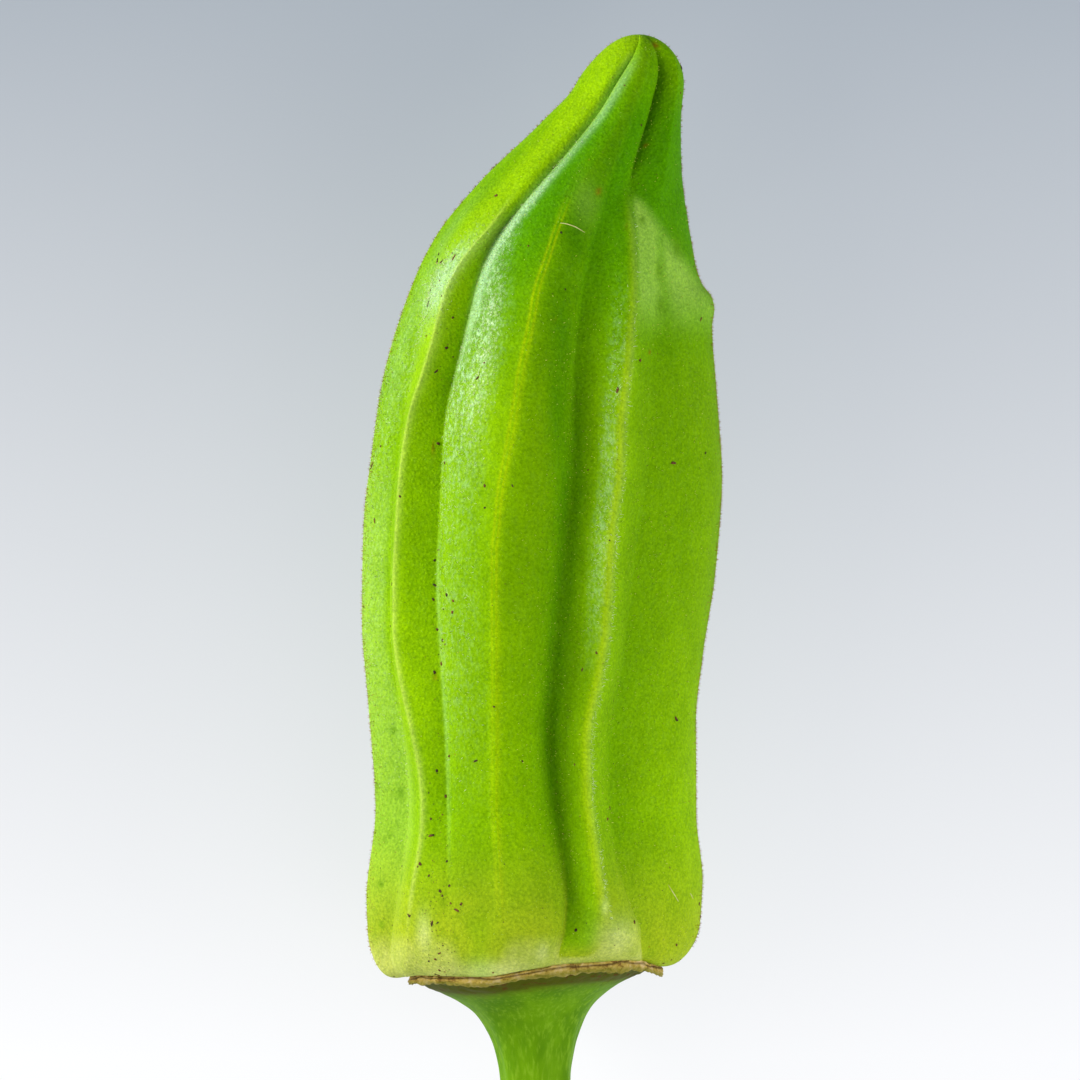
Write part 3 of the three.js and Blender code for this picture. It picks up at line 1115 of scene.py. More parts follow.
        # Painted shade along the fourth rib's creased line near the tip.
        crease_shade_along = smooth(*marks.crease_rises, u) * (rib.name == "fourth rib")
        columns = self.front_columns if line.front else self.rear_columns
        even = np.linspace(0, 1, columns, endpoint=False)
        made: dict[str, list[np.ndarray]] = {}
        for step in self.crowding * (1 - np.cos(np.pi * even)) / 2 + (1 - self.crowding) * even:
            away = step if falling else 1 - step
            share = self.form.soften(np.full_like(u, away)) ** crest_power
            inner = self.form.soften(np.clip(1 - share, 0, 1)) ** groove_power
            reach = high + (low - high) * (1 - inner)
            width = np.abs(turn) * away * np.maximum(reach, 1)
            vein = bell(width, 0, marks.vein) * along
            band = bell(width, *marks.band) * rib.yellow[falling] * thinned
            depth = np.clip((np.maximum(high, low) - reach) / marks.full_groove, 0, 1)
            column = {
                "angle": placed[i][0] + turn * step,
                "reach": reach + rib.vein * vein,
                "crest": bell(width, 0, marks.crest),
                # A groove's depth, which sets its painted shade.
                "groove": depth * hollow.dark,
                "crease": bell(width, 0, marks.crease) * crease_shade_along,
                "vein": vein * rib.pale,
                "yellow": (band + bell(width, *marks.twin) * rib.twin) * along,
                "fringe": bell(width, *marks.fringe) * along * fringe_along,
            }
            for key, values in column.items():
                made.setdefault(key, []).append(values)
        return made

    def sections(self, u: np.ndarray) -> dict[str, np.ndarray]:
        """Angles, radii and masks of every column at every row.

        Args:
            u: The rows' places.

        Returns:
            Arrays of one row for each place, by name.
        """
        placed = [self.form.line_at(line, u) for line in POD_LINES]
        flanks = [self.flank(i, placed, u) for i in range(len(POD_LINES))]
        return {key: np.stack(sum((f[key] for f in flanks), []), 1) for key in flanks[0]}

    def spots(self, points: np.ndarray, places: Marks) -> np.ndarray:
        """Soft marks on the upper side.

        Args:
            points: The skin's points in the form's own millimetres.
            places: The marks.

        Returns:
            A mask of 0 to 1.
        """
        height_share = 0.7
        mask = np.zeros(len(points))
        height = points[:, 2]
        for x, u, radius, stretch in places:
            flat = np.hypot(points[:, 0] - x, (points[:, 1] - u) / stretch)
            middle = np.argmin(np.where(height > 0, flat, np.inf))
            away = np.hypot(flat, height_share * (height - height[middle])) / radius
            mask += (1 - mask) * np.exp(-(away**2)) * (height > 0)
        return mask

    def gloss(self, points: np.ndarray) -> np.ndarray:
        """Waxy coat and painted highlight: beside the crests and grooves that face the light.

        Args:
            points: The skin's points in the form's own millimetres.

        Returns:
            A mask of 0 to 1.
        """
        u, beside = points[:, 1], past("second groove", points)
        reach = 5.6 - 4.4 * smooth(66, 86, u)
        bright = (0.22 * smooth(14, 40, u) + 0.78 * smooth(48, 64, u)) * span(u, fall=(80, 92))
        by_groove = smooth(-0.1, 0.3, beside) * (1 - smooth(0.2 * reach, reach, beside)) * bright
        by_rib = 1.6 * bell(past("second rib", points), -1.1, 1.0) * bell(u, 74, 3.5)
        return by_groove + by_rib + zoned(self.gloss_highlight_zones, points)

    def lip(self, points: np.ndarray) -> np.ndarray:
        """Palest painted highlight: by the second groove, a patch by the second rib, the left edge.

        Args:
            points: The skin's points in the form's own millimetres.

        Returns:
            A mask of 0 to 1.
        """
        x, u = points[:, 0], points[:, 1]
        upper = span(u, (60, 76), (94, 99)) * (1 - 0.65 * smooth(80, 88, u))
        along = np.maximum(upper, 0.12 * span(u, (8, 24), (40, 50)))
        width = 0.2 + 0.3 * smooth(60, 74, u)
        groove_lip = bell(past("second groove", points), width, width) * along
        patch = 0.75 * bell(past("second rib", points), -0.9, 0.8) * bell(u, 74, 3)
        edge = 0.1 * bell(x - self.form.left_edge(u), 1.2, 0.6) * span(u, (56, 64), (78, 86))
        return groove_lip + patch + edge

    def deep(self, points: np.ndarray) -> np.ndarray:
        """How deep green the skin is near the beak, most so on the right of the second groove.

        Args:
            points: The skin's points in the form's own millimetres.

        Returns:
            A mask of 0 to 1.
        """
        beside = smooth(-2.5, 0.5, past("second groove", points))
        right = np.where(points[:, 2] > 0, beside, 0.6)
        along = smooth(56, 84, points[:, 1]) * (1 - 0.5 * smooth(90, 98, points[:, 1]))
        return along * (0.3 + 0.7 * right) * (1 - self.beak_light(points))

    def olive(self, points: np.ndarray) -> np.ndarray:
        """Painted shade in a duller green: between some lines, and low in the middle and left.

        Args:
            points: The skin's points in the form's own millimetres.

        Returns:
            A mask of 0 to 1.
        """
        x, u = points[:, 0], points[:, 1]
        low = 0.45 * bell(x, -6.5, 2.6) * bell(u, 9, 6)
        outer = 0.3 * smooth(-12.5, -14, x) * span(u, fall=(20, 40))
        return zoned(self.shade_zones, points) + low + outer

    def milk(self, points: np.ndarray) -> np.ndarray:
        """Painted sheen and light: by the bump, on the left panel, on a groove's wall near the
        beak.

        Args:
            points: The skin's points in the form's own millimetres.

        Returns:
            A mask of 0 to 1.
        """
        x, u = points[:, 0], points[:, 1]
        slanted = x - (11 + 0.75 * (83 - u))
        panel = smooth(0.1, 0.7, past("fourth rib", points)) * span(slanted, fall=(-1.6, 1))
        panel = 1.3 * panel * span(u, (67, 75), (82, 83.5))
        streak = bell(x - 0.1 * (79 - u), 13.4, 0.75) * span(u, fall=(78, 80.5))
        weak = 0.35 * bell(x, 5.6, 1.2) * bell(u, 82.2, 2.2)
        wall = bell(past("second groove", points), -0.25, 0.5) * span(u, (76, 84), (97, 99))
        return zoned(self.sheen_zones, points) + panel * (1 - 0.6 * streak) + weak + 0.6 * wall

    def young(self, points: np.ndarray) -> np.ndarray:
        """Painted light in a lit, yellower tone: the outer flanks towards the base, a band near the
        beak.

        Args:
            points: The skin's points in the form's own millimetres.

        Returns:
            A mask of 0 to 1.
        """
        x, u = points[:, 0], points[:, 1]
        outer = 0.75 * span(u, fall=(10, 50)) * np.maximum(smooth(8, 12, x), smooth(-12.5, -14, x))
        return np.maximum(outer, self.beak_light(points))

    def beak_light(self, points: np.ndarray) -> np.ndarray:
        """Painted light: the bright band left of the second groove near the beak, over its shade.
        """
        return zoned(self.beak_light_zones, points) * (points[:, 2] > 0)

    def cream(self, points: np.ndarray) -> np.ndarray:
        """How cream the skin by the scar ring is, which ends sharply at the grooves there.

        Args:
            points: The skin's points in the form's own millimetres.

        Returns:
            A mask of 0 to 1.
        """
        u, up = points[:, 1], points[:, 2] > 0
        between = span(past("deep groove", points), (0, 0.3), (2.4, 4.6)) * smooth(1.6, 4, u)
        right = smooth(0, 0.4, past("right groove", points))
        middle = bell(points[:, 0], -5.6, 1.8) * span(u, fall=(5, 9))
        kept = (1 - 0.9 * between * up) * (1 - 0.2 * right * up) * (1 - 0.45 * middle * up)
        return span(u, fall=(0, 17)) * kept

    def dust(self, points: np.ndarray) -> np.ndarray:
        """Where dark specks gather: along the second groove and near the base.

        Args:
            points: The skin's points in the form's own millimetres.

        Returns:
            How many there are, for the number that a coat asks for.
        """
        x, u = points[:, 0], points[:, 1]
        by_groove = bell(x, -9.9, 0.9) * (u < 80)
        by_base = bell(x, -10.2, 2.6) * span(u, fall=(4, 20))
        return 0.05 + (0.8 * by_groove + 1.0 * by_base) * (points[:, 2] > 0)

    def masks(self, cut: dict[str, np.ndarray], wide: np.ndarray, own: np.ndarray) -> Fields:
        """Every look's mask at the skin's points, apart from the two that close its ends.

        Args:
            cut: The columns' angles, radii and masks.
            wide: Every point's distance along the pod.
            own: The points in the form's own millimetres.

        Returns:
            The masks by name.
        """
        fields = {key: cut[key].ravel() for key in ("crest", "vein", "yellow", "crease", "fringe")}
        fields["hollow"] = cut["groove"].ravel()
        # Painted shade: the grooves' depth together with the shaded marks.
        fields["groove"] = np.maximum(fields["hollow"], 0.9 * self.spots(own, self.shaded))
        for key, places in (
            ("spot", self.spots_and_bump_shade), ("pale", self.pale_patches), ("rust", self.rust_marks)
        ):
            fields[key] = self.spots(own, places)
        for key, look in (("gloss", self.gloss), ("olive", self.olive), ("milk", self.milk)):
            fields[key] = np.clip(look(own) * (own[:, 2] > 0), 0, 1)
        fields["lip"] = self.lip(own) * (own[:, 2] > 0)
        fields["deep"], fields["young"] = self.deep(own), self.young(own)
        fields["cream"], fields["dust"] = self.cream(own), self.dust(own)
        fields["fuzz"] = ((0.35 + 0.65 * cut["crest"]) * smooth(1, 6, wide)).ravel()
        upright = bell(np.abs(np.degrees(cut["angle"])), 88, 4)
        fields["side"] = (upright * smooth(1, 4, wide)).ravel()
        return fields

    def build(self) -> bpy.types.Object:
        """Makes and dresses the skin.

        Returns:
            The skin's object.
        """
        u = self.rows()
        cut = self.sections(u)
        columns = cut["angle"].shape[1]
        wide = np.repeat(u[:, None], columns, 1)
        plain = self.form.place(wide, cut["angle"], cut["reach"], False).reshape(-1, 3) / MM
        wave = ripple(plain * (1, 0.45, 1), 5.0, 3.1) * self.waviness
        wave = wave + ripple(plain, 1.7, 8.4) * self.fine_waviness
        calm = (1 - 0.6 * cut["crest"].ravel()) * span(wide.ravel(), (-0.2, 4), (97, 100.3))
        reach = cut["reach"] + (wave * calm).reshape(cut["reach"].shape)
        points = self.form.place(wide, cut["angle"], reach, False).reshape(-1, 3)
        closing = np.array([self.ring_end, self.form.length])
        ends = self.form.place(closing, np.zeros(2), np.zeros(2), False)
        everything = np.vstack([points, ends])
        self.form.settle(everything)
        everything = everything + self.form.shift
        everything[:, 2] = np.maximum(everything[:, 2], 0)
        fields = self.masks(cut, wide, plain)
        for key in ("fuzz", "hollow", "dust"):
            fields[key] = fields[key] * smooth(0.6, 4, everything[:-2, 2] / MM)
        at_ends = {"cream": 1.0}
        for key, values in fields.items():
            fields[key] = np.append(values, np.full(2, at_ends.get(key, 0.0)))
        faces = lofted_faces(len(u), columns)
        return dress(mesh_piece("pod_skin", everything, faces, fields), self.finish.material())


@dataclass
class ScarRing:
    """The corky ring that the flower left, with a crack along its middle.

    "depth_noise" and "height_noise" are how much each kind of unevenness changes its section.
    """

    form: PodForm
    finish: CorkFinish = CorkFinish()
    radius: float = 13.6
    noise_radius: float = 14.0
    sideways: float = 0.25
    height: float = 0.56
    depth: float = 0.6
    middle: float = -0.62
    highest: float = -0.02
    wobble: float = 0.14
    crack_middle: float = 0.3
    crack_width: float = 0.16
    crack_depth: float = 0.18
    side_inset: float = 0.35
    depth_noise: Ends = (0.35, 0.3)
    height_noise: tuple[float, float, float] = (0.45, 0.35, 0.4)
    columns: int = 420
    rows: int = 32

    def uneven(
        self,
        a: np.ndarray,
        t: np.ndarray,
        size: float,
        offset: float,
        drift: Sequence[int] = (0, 0, 0),
    ) -> np.ndarray:
        """Noise over the ring's surface.

        Args:
            a: Angles round the ring.
            t: Angles round its section.
            size: The width of the lumps in millimetres.
            offset: Moves the pattern, so that two of them differ.
            drift: How far the pattern moves on for each radian round the section.

        Returns:
            Values between about -1 and 1.
        """
        r = self.noise_radius
        places = np.stack([np.sin(a) * r, np.cos(a) * r, 0.0 * a], -1)
        places = places + t[..., None] * np.array(drift)
        return ripple(places.reshape(-1, 3), size, offset).reshape(a.shape)

    def build(self) -> bpy.types.Object:
        """Makes and dresses the ring.

        Returns:
            The ring's object.
        """
        round_ring = np.linspace(0, 2 * np.pi, self.columns, endpoint=False)
        section = np.linspace(0, 2 * np.pi, self.rows, endpoint=False)
        a, t = np.meshgrid(round_ring, section, indexing="ij")
        wobble, broad = self.uneven(a, t, 2.4, 1.7), self.uneven(a, t, 5.5, 4.4)
        ragged = self.uneven(a, t, 0.55, 5.3, (0, 0, 1))
        crumbs = self.uneven(a, t, 0.3, 7.9, (1, 0, 2))
        crack_at = self.crack_middle + self.crack_middle * wobble
        crack = bell(np.sin(t), crack_at, self.crack_width) * (np.cos(t) > 0)
        at_side = np.abs(np.sin(a)) ** 8
        noisy = 1 + self.depth_noise[0] * ragged + self.depth_noise[1] * crumbs
        out = np.cos(t) * self.depth * noisy * (1 - 0.5 * at_side)
        out += self.wobble * wobble - crack * self.crack_depth
        out -= at_side * (self.side_inset - 0.25 * ragged)
        shares = zip(self.height_noise, (broad, wobble, ragged))
        up = np.sin(t) * self.height * (1 + sum(share * noise_at for share, noise_at in shares))
        u = np.minimum(self.middle + up, self.highest)
        points = self.form.place(u, a, self.radius + out, True).reshape(-1, 3)
        points[:, 0] += self.sideways * MM
        faces: Faces = []
        for i in range(self.columns):
            here, there = i * self.rows, (i + 1) % self.columns * self.rows
            for k in range(self.rows):
                n = (k + 1) % self.rows
                faces.append((here + k, there + k, there + n, here + n))
        fields = {"crack": crack.ravel(), "low": smooth(0.1, -0.7, np.sin(t)).ravel()}
        return dress(mesh_piece("scar_ring", points, faces, fields), self.finish.material())


@dataclass
class CapAndStalk:
    """The short cap below the ring, its hollow cone and the cut stalk.

    "profile" is its radius at places along it. "cut_face" has points of the cut: their distance
    from the middle and how far they stand out.
    """

    form: PodForm
    finish: StalkFinish = StalkFinish()
    length: float = 20.0
    cap_start: float = -8.0
    top: float = -0.75
    stalk_rows: int = 46
    cap_rows: int = 70
    columns: int = 240
    profile: Knots = (
        (-20, 3.45), (-19.7, 3.62), (-19.3, 3.6), (-15, 3.55), (-11, 3.8), (-8, 4.3), (-6, 5.1),
        (-4.4, 6.3), (-3.3, 7.8), (-2.4, 9.6), (-1.7, 11.2), (-1.15, 12.1), (-0.75, 12.9),
    )
    cut_face: Knots = (
        (0.0, -0.35), (0.5, -0.32), (0.9, -0.1), (1.4, -0.14), (2.2, -0.06), (2.9, -0.02),
        (3.2, 0.0),
    )
    side_ridges: int = 7
    ridge_height: float = 0.13
    ridge_twist: float = 0.08
    lump_height: float = 0.09
    rim_middle: float = -1.6
    rim_width: float = 0.75

    def build(self) -> bpy.types.Object:
        """Makes and dresses the cap and the stalk.

        Returns:
            Their object.
        """
        out, dip = (np.array(column) for column in zip(*self.cut_face))
        stalk = np.linspace(-self.length, self.cap_start, self.stalk_rows, endpoint=False)
        u = np.concatenate([stalk, np.linspace(self.cap_start, self.top, self.cap_rows)])
        u_rows = np.concatenate([-self.length - dip[1:], u])
        radii = np.concatenate([out[1:], Curve(self.profile)(u)])
        a, uu = np.meshgrid(np.linspace(0, 2 * np.pi, self.columns, endpoint=False), u_rows)
        reach = np.repeat(radii[:, None], self.columns, 1)
        ridged = span(uu, (-20, -19.4), (-3.4, -1.6))
        ridge = self.ridge_height * np.cos(self.side_ridges * a + self.ridge_twist * uu) * ridged
        places = np.stack([np.sin(a) * reach, np.cos(a) * reach, uu], -1).reshape(-1, 3)
        lump = ripple(places * (1, 1, 0.35), 1.3, 2.2).reshape(a.shape)
        rag = ripple(places, 0.8, 9.1).reshape(a.shape)
        at_rim = bell(uu, self.rim_middle, self.rim_width)
        outer = smooth(2.9, 3.4, reach)
        uneven = ridge + self.lump_height * lump * ridged + at_rim * (0.35 * lump + 0.25 * rag)
        reach = reach + outer * uneven
        uu = uu + np.where(outer > 0, 0.0, 0.06 * rag) + at_rim * 0.25 * lump
        points = self.form.place(uu, a, reach, True).reshape(-1, 3)
        closing = np.array([-self.length - dip[0], self.top])
        ends = self.form.place(closing, np.zeros(2), np.zeros(2), True)
        on_face = (np.arange(len(u_rows)) < len(out)).astype(float)
        cut = np.repeat(on_face[:, None], self.columns, 1)
        fields = {
            "rim": np.append(at_rim.ravel(), [0, 0]),
            "cut": np.append(cut.ravel(), [1, 0]),
            "core": np.append((smooth(1.6, 0.9, reach) * cut).ravel(), [1, 0]),
        }
        faces = lofted_faces(len(u_rows), self.columns)
        piece = mesh_piece("cap_and_stalk", np.vstack([points, ends]), faces, fields)
        return dress(piece, self.finish.material())


class Growth:
    """Grows many copies of a small shape on a piece with Geometry Nodes."""

    def __init__(
        self, name: str, host: bpy.types.Object, shape: bpy.types.Object, where: str
    ) -> None:
        """Builds the node tree.

        Args:
            name: The new piece's name.
            host: The piece that the copies stand on.
            shape: The small shape, standing on its own origin along +Z.
            where: The value at the host's points that says how many stand there.
        """
        self.name, self.host, self.shape = name, host, shape
        self.tree = tree = bpy.data.node_groups.new(name, "GeometryNodeTree")
        entries = {
            "Geometry": "Geometry", "Density": "Float", "Smallest": "Float", "Largest": "Float",
            "Lean": "Float", "Seed": "Int", "Shape": "Object", "Material": "Material",
        }
        for label, kind in entries.items():
            tree.interface.new_socket(label, in_out="INPUT", socket_type="NodeSocket" + kind)
        tree.interface.new_socket("Geometry", in_out="OUTPUT", socket_type="NodeSocketGeometry")
        start, end = self.add("NodeGroupInput"), self.add("NodeGroupOutput")
        count = self.add("ShaderNodeMath", operation="MULTIPLY")
        chosen = self.add("GeometryNodeInputNamedAttribute", data_type="FLOAT")
        chosen.inputs["Name"].default_value = where
        points = self.add("GeometryNodeDistributePointsOnFaces", distribute_method="RANDOM")
        element = self.add("GeometryNodeObjectInfo", transform_space="ORIGINAL")
        standing = self.add("GeometryNodeInstanceOnPoints")
        size = self.add("FunctionNodeRandomValue", data_type="FLOAT")
        lean = self.add("FunctionNodeRandomValue", data_type="FLOAT_VECTOR")
        low, high = self.add("ShaderNodeCombineXYZ"), self.add("ShaderNodeCombineXYZ")
        back = self.add("ShaderNodeMath", operation="MULTIPLY")
        back.inputs[1].default_value = -1
        high.inputs[2].default_value = 2 * math.pi
        euler = self.add("FunctionNodeEulerToRotation")
        turned = self.add("GeometryNodeRotateInstances")
        real = self.add("GeometryNodeRealizeInstances")
        coat = self.add("GeometryNodeSetMaterial")
        for source, output, target, entry in (
            (start, "Density", count, 0),
            (chosen, "Attribute", count, 1),
            (start, "Geometry", points, "Mesh"),
            (count, 0, points, "Density"),
            (start, "Seed", points, "Seed"),
            (start, "Shape", element, "Object"),
            (points, "Points", standing, "Points"),
            (element, "Geometry", standing, "Instance"),
            (points, "Rotation", standing, "Rotation"),
            (start, "Smallest", size, 2),
            (start, "Largest", size, 3),
            (start, "Seed", size, "Seed"),
            (size, 1, standing, "Scale"),
            (start, "Lean", back, 0),
            (back, 0, low, 0),
            (back, 0, low, 1),
            (start, "Lean", high, 0),
            (start, "Lean", high, 1),
            (low, 0, lean, 0),
            (high, 0, lean, 1),
            (lean, 0, euler, 0),
            (standing, "Instances", turned, "Instances"),
            (euler, 0, turned, "Rotation"),
            (turned, "Instances", real, "Geometry"),
            (real, "Geometry", coat, "Geometry"),
            (start, "Material", coat, "Material"),
            (coat, "Geometry", end, "Geometry"),
        ):
            tree.links.new(source.outputs[output], target.inputs[entry])

    def add(self, kind: str, **settings: str) -> bpy.types.Node:
        """Adds a node.

        Args:
            kind: The node's type.
            **settings: Its properties.

        Returns:
            The node.
        """
        node = self.tree.nodes.new(kind)
        for key, value in settings.items():
            setattr(node, key, value)
        return node

    def grow(self, **values: object) -> bpy.types.Object:
        """Runs the tree and keeps its result as a plain mesh.

        Args:
            **values: The tree's inputs by name.

        Returns:
            The new piece.
        """
        carrier = self.host.copy()
        bpy.context.collection.objects.link(carrier)
        modifier = carrier.modifiers.new(self.name, "NODES")
        modifier.node_group = self.tree
        entries = [e for e in self.tree.interface.items_tree if e.in_out == "INPUT"]
        sockets = {entry.name: entry.identifier for entry in entries}
        for key, value in {**values, "Shape": self.shape}.items():
            modifier[sockets[key]] = value
        graph = bpy.context.evaluated_depsgraph_get()
        mesh = bpy.data.meshes.new_from_object(carrier.evaluated_get(graph), depsgraph=graph)
        mesh.name = self.name
        bpy.data.objects.remove(carrier)
        inherited = {a.name for a in self.host.data.attributes}
        for name in [a.name for a in mesh.attributes if a.name in inherited]:
            extra = mesh.attributes[name]
            if not extra.is_required and not extra.is_internal:
                mesh.attributes.remove(extra)
        piece = bpy.data.objects.new(self.name, mesh)
        bpy.context.collection.objects.link(piece)
        bpy.data.objects.remove(self.shape)
        return piece


@dataclass(kw_only=True)
class Scatter:
    """Many copies of one small shape, scattered over a piece.

    "where" names the value at the piece's points that the number for each square millimetre is
    multiplied by. "smallest" and "largest" are shares of the shape's size, "lean" is in radians.
    """

    name: str
    where: str
    finish: PlainFinish
    per_square_mm: float
    smallest: float
    largest: float
    lean: float
    seed: int

    def shape(self) -> bpy.types.Object:
        """The small shape, which each kind makes its own way."""
        raise NotImplementedError

    def build(self, host: bpy.types.Object) -> bpy.types.Object:
        """Grows and dresses the copies.

        Args:
            host: The piece that they stand on.

        Returns:
            One piece with all the copies.
        """
        growth = Growth(self.name, host, self.shape(), self.where)
        material = self.finish.material()
        piece = growth.grow(
            Density=self.per_square_mm / MM**2,
            Smallest=self.smallest,
            Largest=self.largest,
            Lean=self.lean,
            Seed=self.seed,
            Material=material,
        )
        return dress(piece, material)


@dataclass(kw_only=True)
class HairCoat(Scatter):
    """Short, stiff hairs of one kind."""

    length: float
    thickness: float
    smallest: float = 0.45
    largest: float = 1.15
    lean: float = 0.6
    seed: int = 7
    sides: int = 3
    root: float = 0.02

    def shape(self) -> bpy.types.Object:
        """One hair: a thin bent cone.

        Returns:
            The hair, standing on the origin.
        """
        sides = self.sides
        points = []
        for share in (0.0, 0.5):
            r, bend = self.thickness * (1 - 0.5 * share), 0.15 * self.length * share**2
            for k in range(sides):
                turn = 2 * math.pi * k / sides
                height = share * self.length - self.root
                points.append((r * math.cos(turn) + bend, r * math.sin(turn), height))
        points.append((0.3 * self.length, 0, self.length))
        faces: Faces = []
        for k in range(sides):
            n = (k + 1) % sides
            faces += [(k, n, sides + n, sides + k), (sides + k, sides + n, 2 * sides)]
        faces.append(tuple(reversed(range(sides))))
        return mesh_piece("hair_shape", np.array(points) * MM, faces)


@dataclass(kw_only=True)
class DustSpecks(Scatter):
    """Dark specks of dust and bruised skin, each a low ragged crumb of a few faces.

    "rings" are the radius and the height of its rows of points.
    """

    stretch: float
    where: str = "dust"
    finish: PlainFinish = SPECK
    lean: float = 0.15
    sides: int = 7
    raggedness: Ends = (0.55, 1.3)
    rings: Knots = ((0.11, -0.02), (0.1, 0.03), (0.045, 0.06))

    def shape(self) -> bpy.types.Object:
        """One speck.

        Returns:
            The crumb, standing on the origin.
        """
        sides = self.sides
        ragged = np.random.default_rng(self.seed).uniform(*self.raggedness, sides)
        points = []
        for r, height in self.rings:
            for k in range(sides):
                turn = 2 * math.pi * k / sides
                out = r * ragged[k]
                points.append((out * math.cos(turn) * self.stretch, out * math.sin(turn), height))
        faces: Faces = [tuple(range(sides - 1, -1, -1)), tuple(range(2 * sides, 3 * sides))]
        for start in (0, sides):
            for k in range(sides):
                n = (k + 1) % sides
                faces.append((start + k, start + n, start + sides + n, start + sides + k))
        return mesh_piece("speck_shape", np.array(points) * MM, faces)


COATS: tuple[Scatter, ...] = (
    HairCoat(
        name="short_hairs", where="fuzz", finish=HAIR, length=0.34, thickness=0.024,
        per_square_mm=1.2,
    ),
    # White hairs grown only where the skin catches the light, adding to the painted highlight
    # there.
    HairCoat(
        name="lit_hairs", where="gloss", finish=WHITE_HAIR, length=0.3, thickness=0.034,
        per_square_mm=10.0, lean=0.9, seed=3,
    ),
    HairCoat(
        name="crest_fringe", where="fringe", finish=WHITE_HAIR, length=0.5, thickness=0.03,
        per_square_mm=20.0, lean=0.8, seed=5,
    ),
    HairCoat(
        name="groove_hairs", where="hollow", finish=GOLD_HAIR, length=0.2, thickness=0.056,
        per_square_mm=1.8, lean=0.4, seed=11,
    ),
    HairCoat(
        name="side_bristles", where="side", finish=BROWN_HAIR, length=0.24, thickness=0.036,
        per_square_mm=9.0, lean=0.4, seed=9,
    ),
    DustSpecks(
        name="dust_specks", per_square_mm=0.16, smallest=0.5, largest=1.7, stretch=1.3, seed=21
    ),
    DustSpecks(
        name="slivers", per_square_mm=0.05, smallest=0.6, largest=1.5, stretch=3.2, seed=33
    ),
    DustSpecks(
        name="fine_dust", per_square_mm=0.9, smallest=0.3, largest=0.7, stretch=1.0, seed=44
    ),
)


@dataclass
class LooseStrands:
    """A few pale strands that lie on the skin, each a row of points: their x and distance along."""

    form: PodForm
    host: bpy.types.Object
    finish: PlainFinish = STRAND
    thickness: float = 0.055
    lift: float = 0.6
    thin_end: float = 0.35
    drop_from: float = 0.1
    samples: int = 14
    sides: int = 5
    strands: tuple[Knots, ...] = (
        ((2.9, 80.0), (3.6, 79.9), (4.5, 79.6), (5.5, 79.0)),
        ((14.4, 9.6), (14.9, 8.8), (15.5, 7.8)),
        ((16.8, 8.6), (17.1, 8.0)),
    )

    def path(self, strand: Knots, surface: BVHTree) -> list[Vector]:
        """Lays a strand's middle line on the skin.

        Args:
            strand: The strand's points.
            surface: The skin.

        Returns:
            The middle line's points in metres.
        """
        places, us = (np.array(column) for column in zip(*strand))
        share, knots = np.linspace(0, 1, self.samples), np.linspace(0, 1, len(places))
        path = []
        for x, u in zip(np.interp(share, knots, places), np.interp(share, knots, us)):
            x, y = x * MM + self.form.shift[0], u * MM + self.form.shift[1]
            hit = surface.ray_cast(Vector((x, y, self.drop_from)), Vector((0, 0, -1)))[0]
            path.append(hit + Vector((0, 0, self.thickness * self.lift * MM)))
        return path

    def tube(self, path: Sequence[Vector]) -> list[Vector]:
        """Points round a middle line, nearer to it towards its ends.

        Args:
            path: The middle line's points.

        Returns:
            A row of points round each of them.
        """
        points = []
        for i, middle in enumerate(path):
            ahead = (path[min(i + 1, len(path) - 1)] - path[max(i - 1, 0)]).normalized()
            side = ahead.cross(Vector((0, 0, 1))).normalized()
            up = side.cross(ahead)
            swell = math.sin(math.pi * (0.1 + 0.8 * i / (len(path) - 1)))
            thin = self.thickness * MM * (self.thin_end + (1 - self.thin_end) * swell)
            for k in range(self.sides):
                turn = 2 * math.pi * k / self.sides
                points.append(middle + (side * math.cos(turn) + up * math.sin(turn)) * thin)
        return points

    def build(self) -> bpy.types.Object:
        """Makes and dresses the strands.

        Returns:
            One piece with all the strands.
        """
        mesh = self.host.data
        polygons = [tuple(p.vertices) for p in mesh.polygons]
        surface = BVHTree.FromPolygons([v.co for v in mesh.vertices], polygons)
        points: list[Vector] = []
        faces: Faces = []
        for strand in self.strands:
            start = len(points)
            points += self.tube(self.path(strand, surface))
            last = len(points) - self.sides
            for a in range(start, last, self.sides):
                b = a + self.sides
                for k in range(self.sides):
                    n = (k + 1) % self.sides
                    faces.append((a + k, b + k, b + n, a + n))
            faces.append(tuple(range(start, start + self.sides)))
            faces.append(tuple(reversed(range(last, last + self.sides))))
        piece = mesh_piece("loose_strands", np.array([tuple(p) for p in points]), faces)
        return dress(piece, self.finish.material())


@dataclass(frozen=True)
class Softbox:
    """One soft lamp."""

    name: str
    place: tuple[float, float, float]
    size: float
    power: float
    colour: Colour = (1.0, 1.0, 1.0)


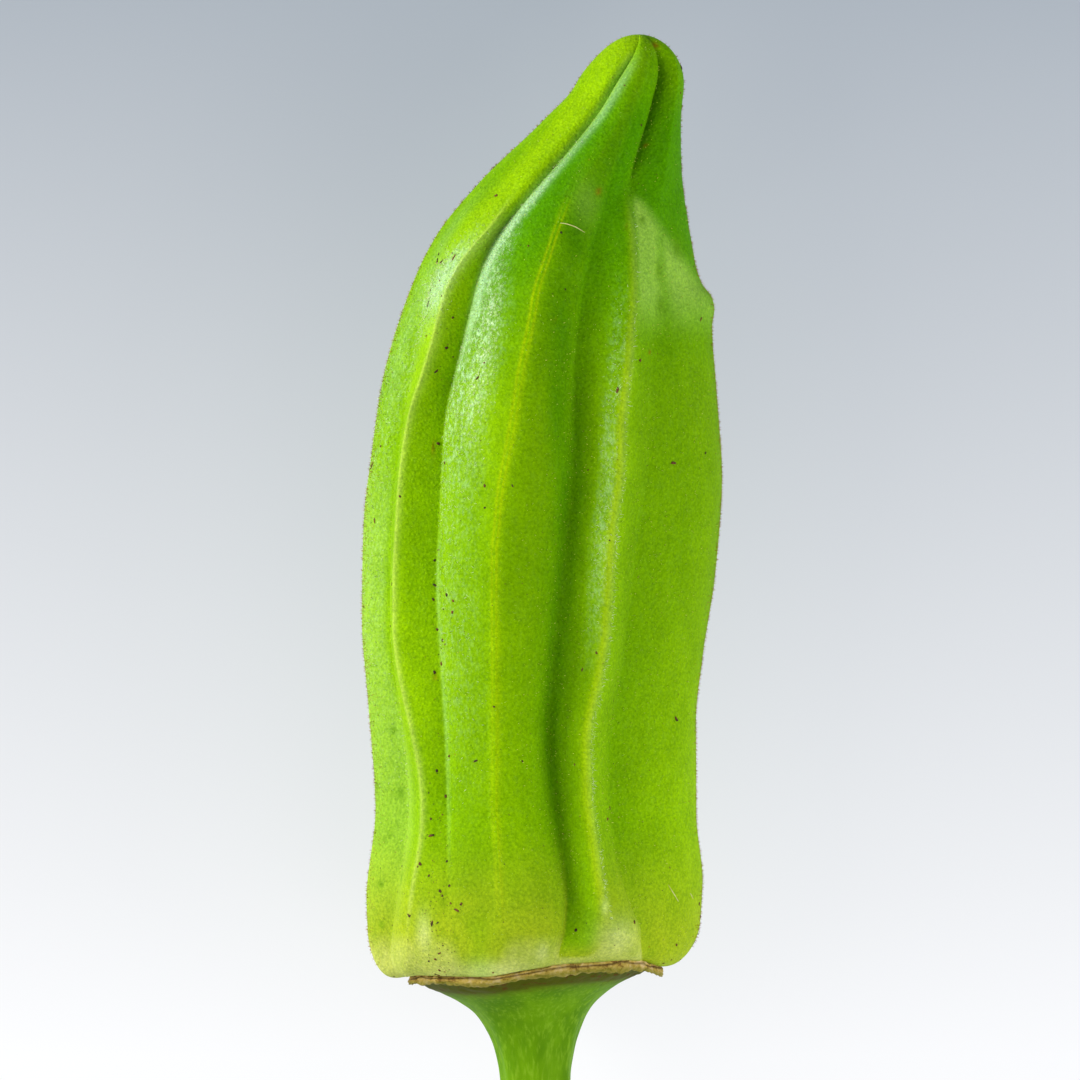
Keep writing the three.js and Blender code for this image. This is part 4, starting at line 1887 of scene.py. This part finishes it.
@dataclass
class Studio:
    """Pale table, soft lamps and the camera, which looks straight down.

    The picture's scale is millimetres for a pixel, "picture" is its width in pixels, and "middle"
    and "focus_height" are millimetres. The other places are metres, in the part's frame.
    """

    scale: float = 0.107
    picture: int = 1080
    middle: Ends = (-0.21, 6.13)
    focus_height: float = 18.0
    lens: float = 500.0
    sensor: float = 36.0
    lamps: tuple[Softbox, ...] = (
        Softbox("side_left", (-0.48, 0.22, 0.13), 0.24, 2.4, (1.0, 0.96, 0.88)),
        Softbox("key_left", (-0.42, 0.0, 0.32), 0.34, 1.32, (1.0, 0.96, 0.88)),
        Softbox("fill_right", (0.42, -0.05, 0.26), 0.26, 1.05),
        Softbox("fill_foot", (0.26, -0.34, 0.5), 0.36, 1.1),
    )
    lamp_aim: tuple[float, float, float] = (0, 0, 0.018)
    sky: Colour = (0.96, 0.98, 1.0)
    sky_strength: float = 0.35
    table_half: float = 3.0
    table: Colour = (0.15, 0.15, 0.15)
    near_glow: Colour = tone(234, 235, 238)
    far_glow: Colour = tone(142, 153, 166)
    glow_ends: Ends = (-0.05, 0.064)

    def floor(self) -> None:
        """Lays the pale table top, glowing with painted light that fades from white to cool grey.
        """
        half = self.table_half
        corners = np.array([(-half, -half, 0), (half, -half, 0), (half, half, 0), (-half, half, 0)])
        piece = mesh_piece("table_top", corners, [(0, 1, 2, 3)])
        s = NodeSketch("table_white")
        height = s.node("ShaderNodeSeparateXYZ", {}, {0: s.place()}, "Y")
        glow = s.blend(height.step(*self.glow_ends, "LINEAR"), self.near_glow, self.far_glow)
        finish = {
            "Base Color": self.table,
            "Roughness": 0.9,
            "Specular IOR Level": 0.0,
            "Emission Color": glow,
            "Emission Strength": 1.0,
        }
        piece.data.materials.append(s.finish(finish))

    def lights(self) -> None:
        """Hangs the soft lamps and sets an even sky."""
        for box in self.lamps:
            lamp = bpy.data.lights.new(box.name, "AREA")
            lamp.shape, lamp.size = "SQUARE", box.size
            lamp.energy, lamp.color = box.power, box.colour
            holder = bpy.data.objects.new(box.name, lamp)
            holder.location = box.place
            aim = Vector(self.lamp_aim) - holder.location
            holder.rotation_euler = aim.to_track_quat("-Z", "Y").to_euler()
            holder.visible_camera = False
            bpy.context.collection.objects.link(holder)
        world = bpy.data.worlds.new("even_sky")
        world.use_nodes = True
        back = world.node_tree.nodes["Background"]
        back.inputs["Color"].default_value = (*self.sky, 1)
        back.inputs["Strength"].default_value = self.sky_strength
        bpy.context.scene.world = world

    def camera(self) -> None:
        """Places the camera so that the picture has the scale of the real pod."""
        data = bpy.data.cameras.new("camera")
        data.lens, data.sensor_width = self.lens, self.sensor
        across = self.picture * self.scale
        away = across * self.lens / self.sensor
        holder = bpy.data.objects.new("camera", data)
        holder.location = Vector((*self.middle, away + self.focus_height)) * MM
        bpy.context.collection.objects.link(holder)
        bpy.context.scene.camera = holder

    def build(self) -> None:
        """Sets the stage and the view."""
        self.floor()
        self.lights()
        self.camera()
        bpy.context.scene.view_settings.view_transform = "Standard"


def main() -> None:
    """Builds the pod, its trim and the studio in order."""
    logging.basicConfig(level=logging.INFO, format="%(message)s")
    form = PodForm()
    skin = PodSkin(form).build()
    ScarRing(form).build()
    CapAndStalk(form).build()
    for coat in COATS:
        coat.build(skin)
    LooseStrands(form, skin).build()
    Studio().build()


if __name__ == "__main__":
    main()
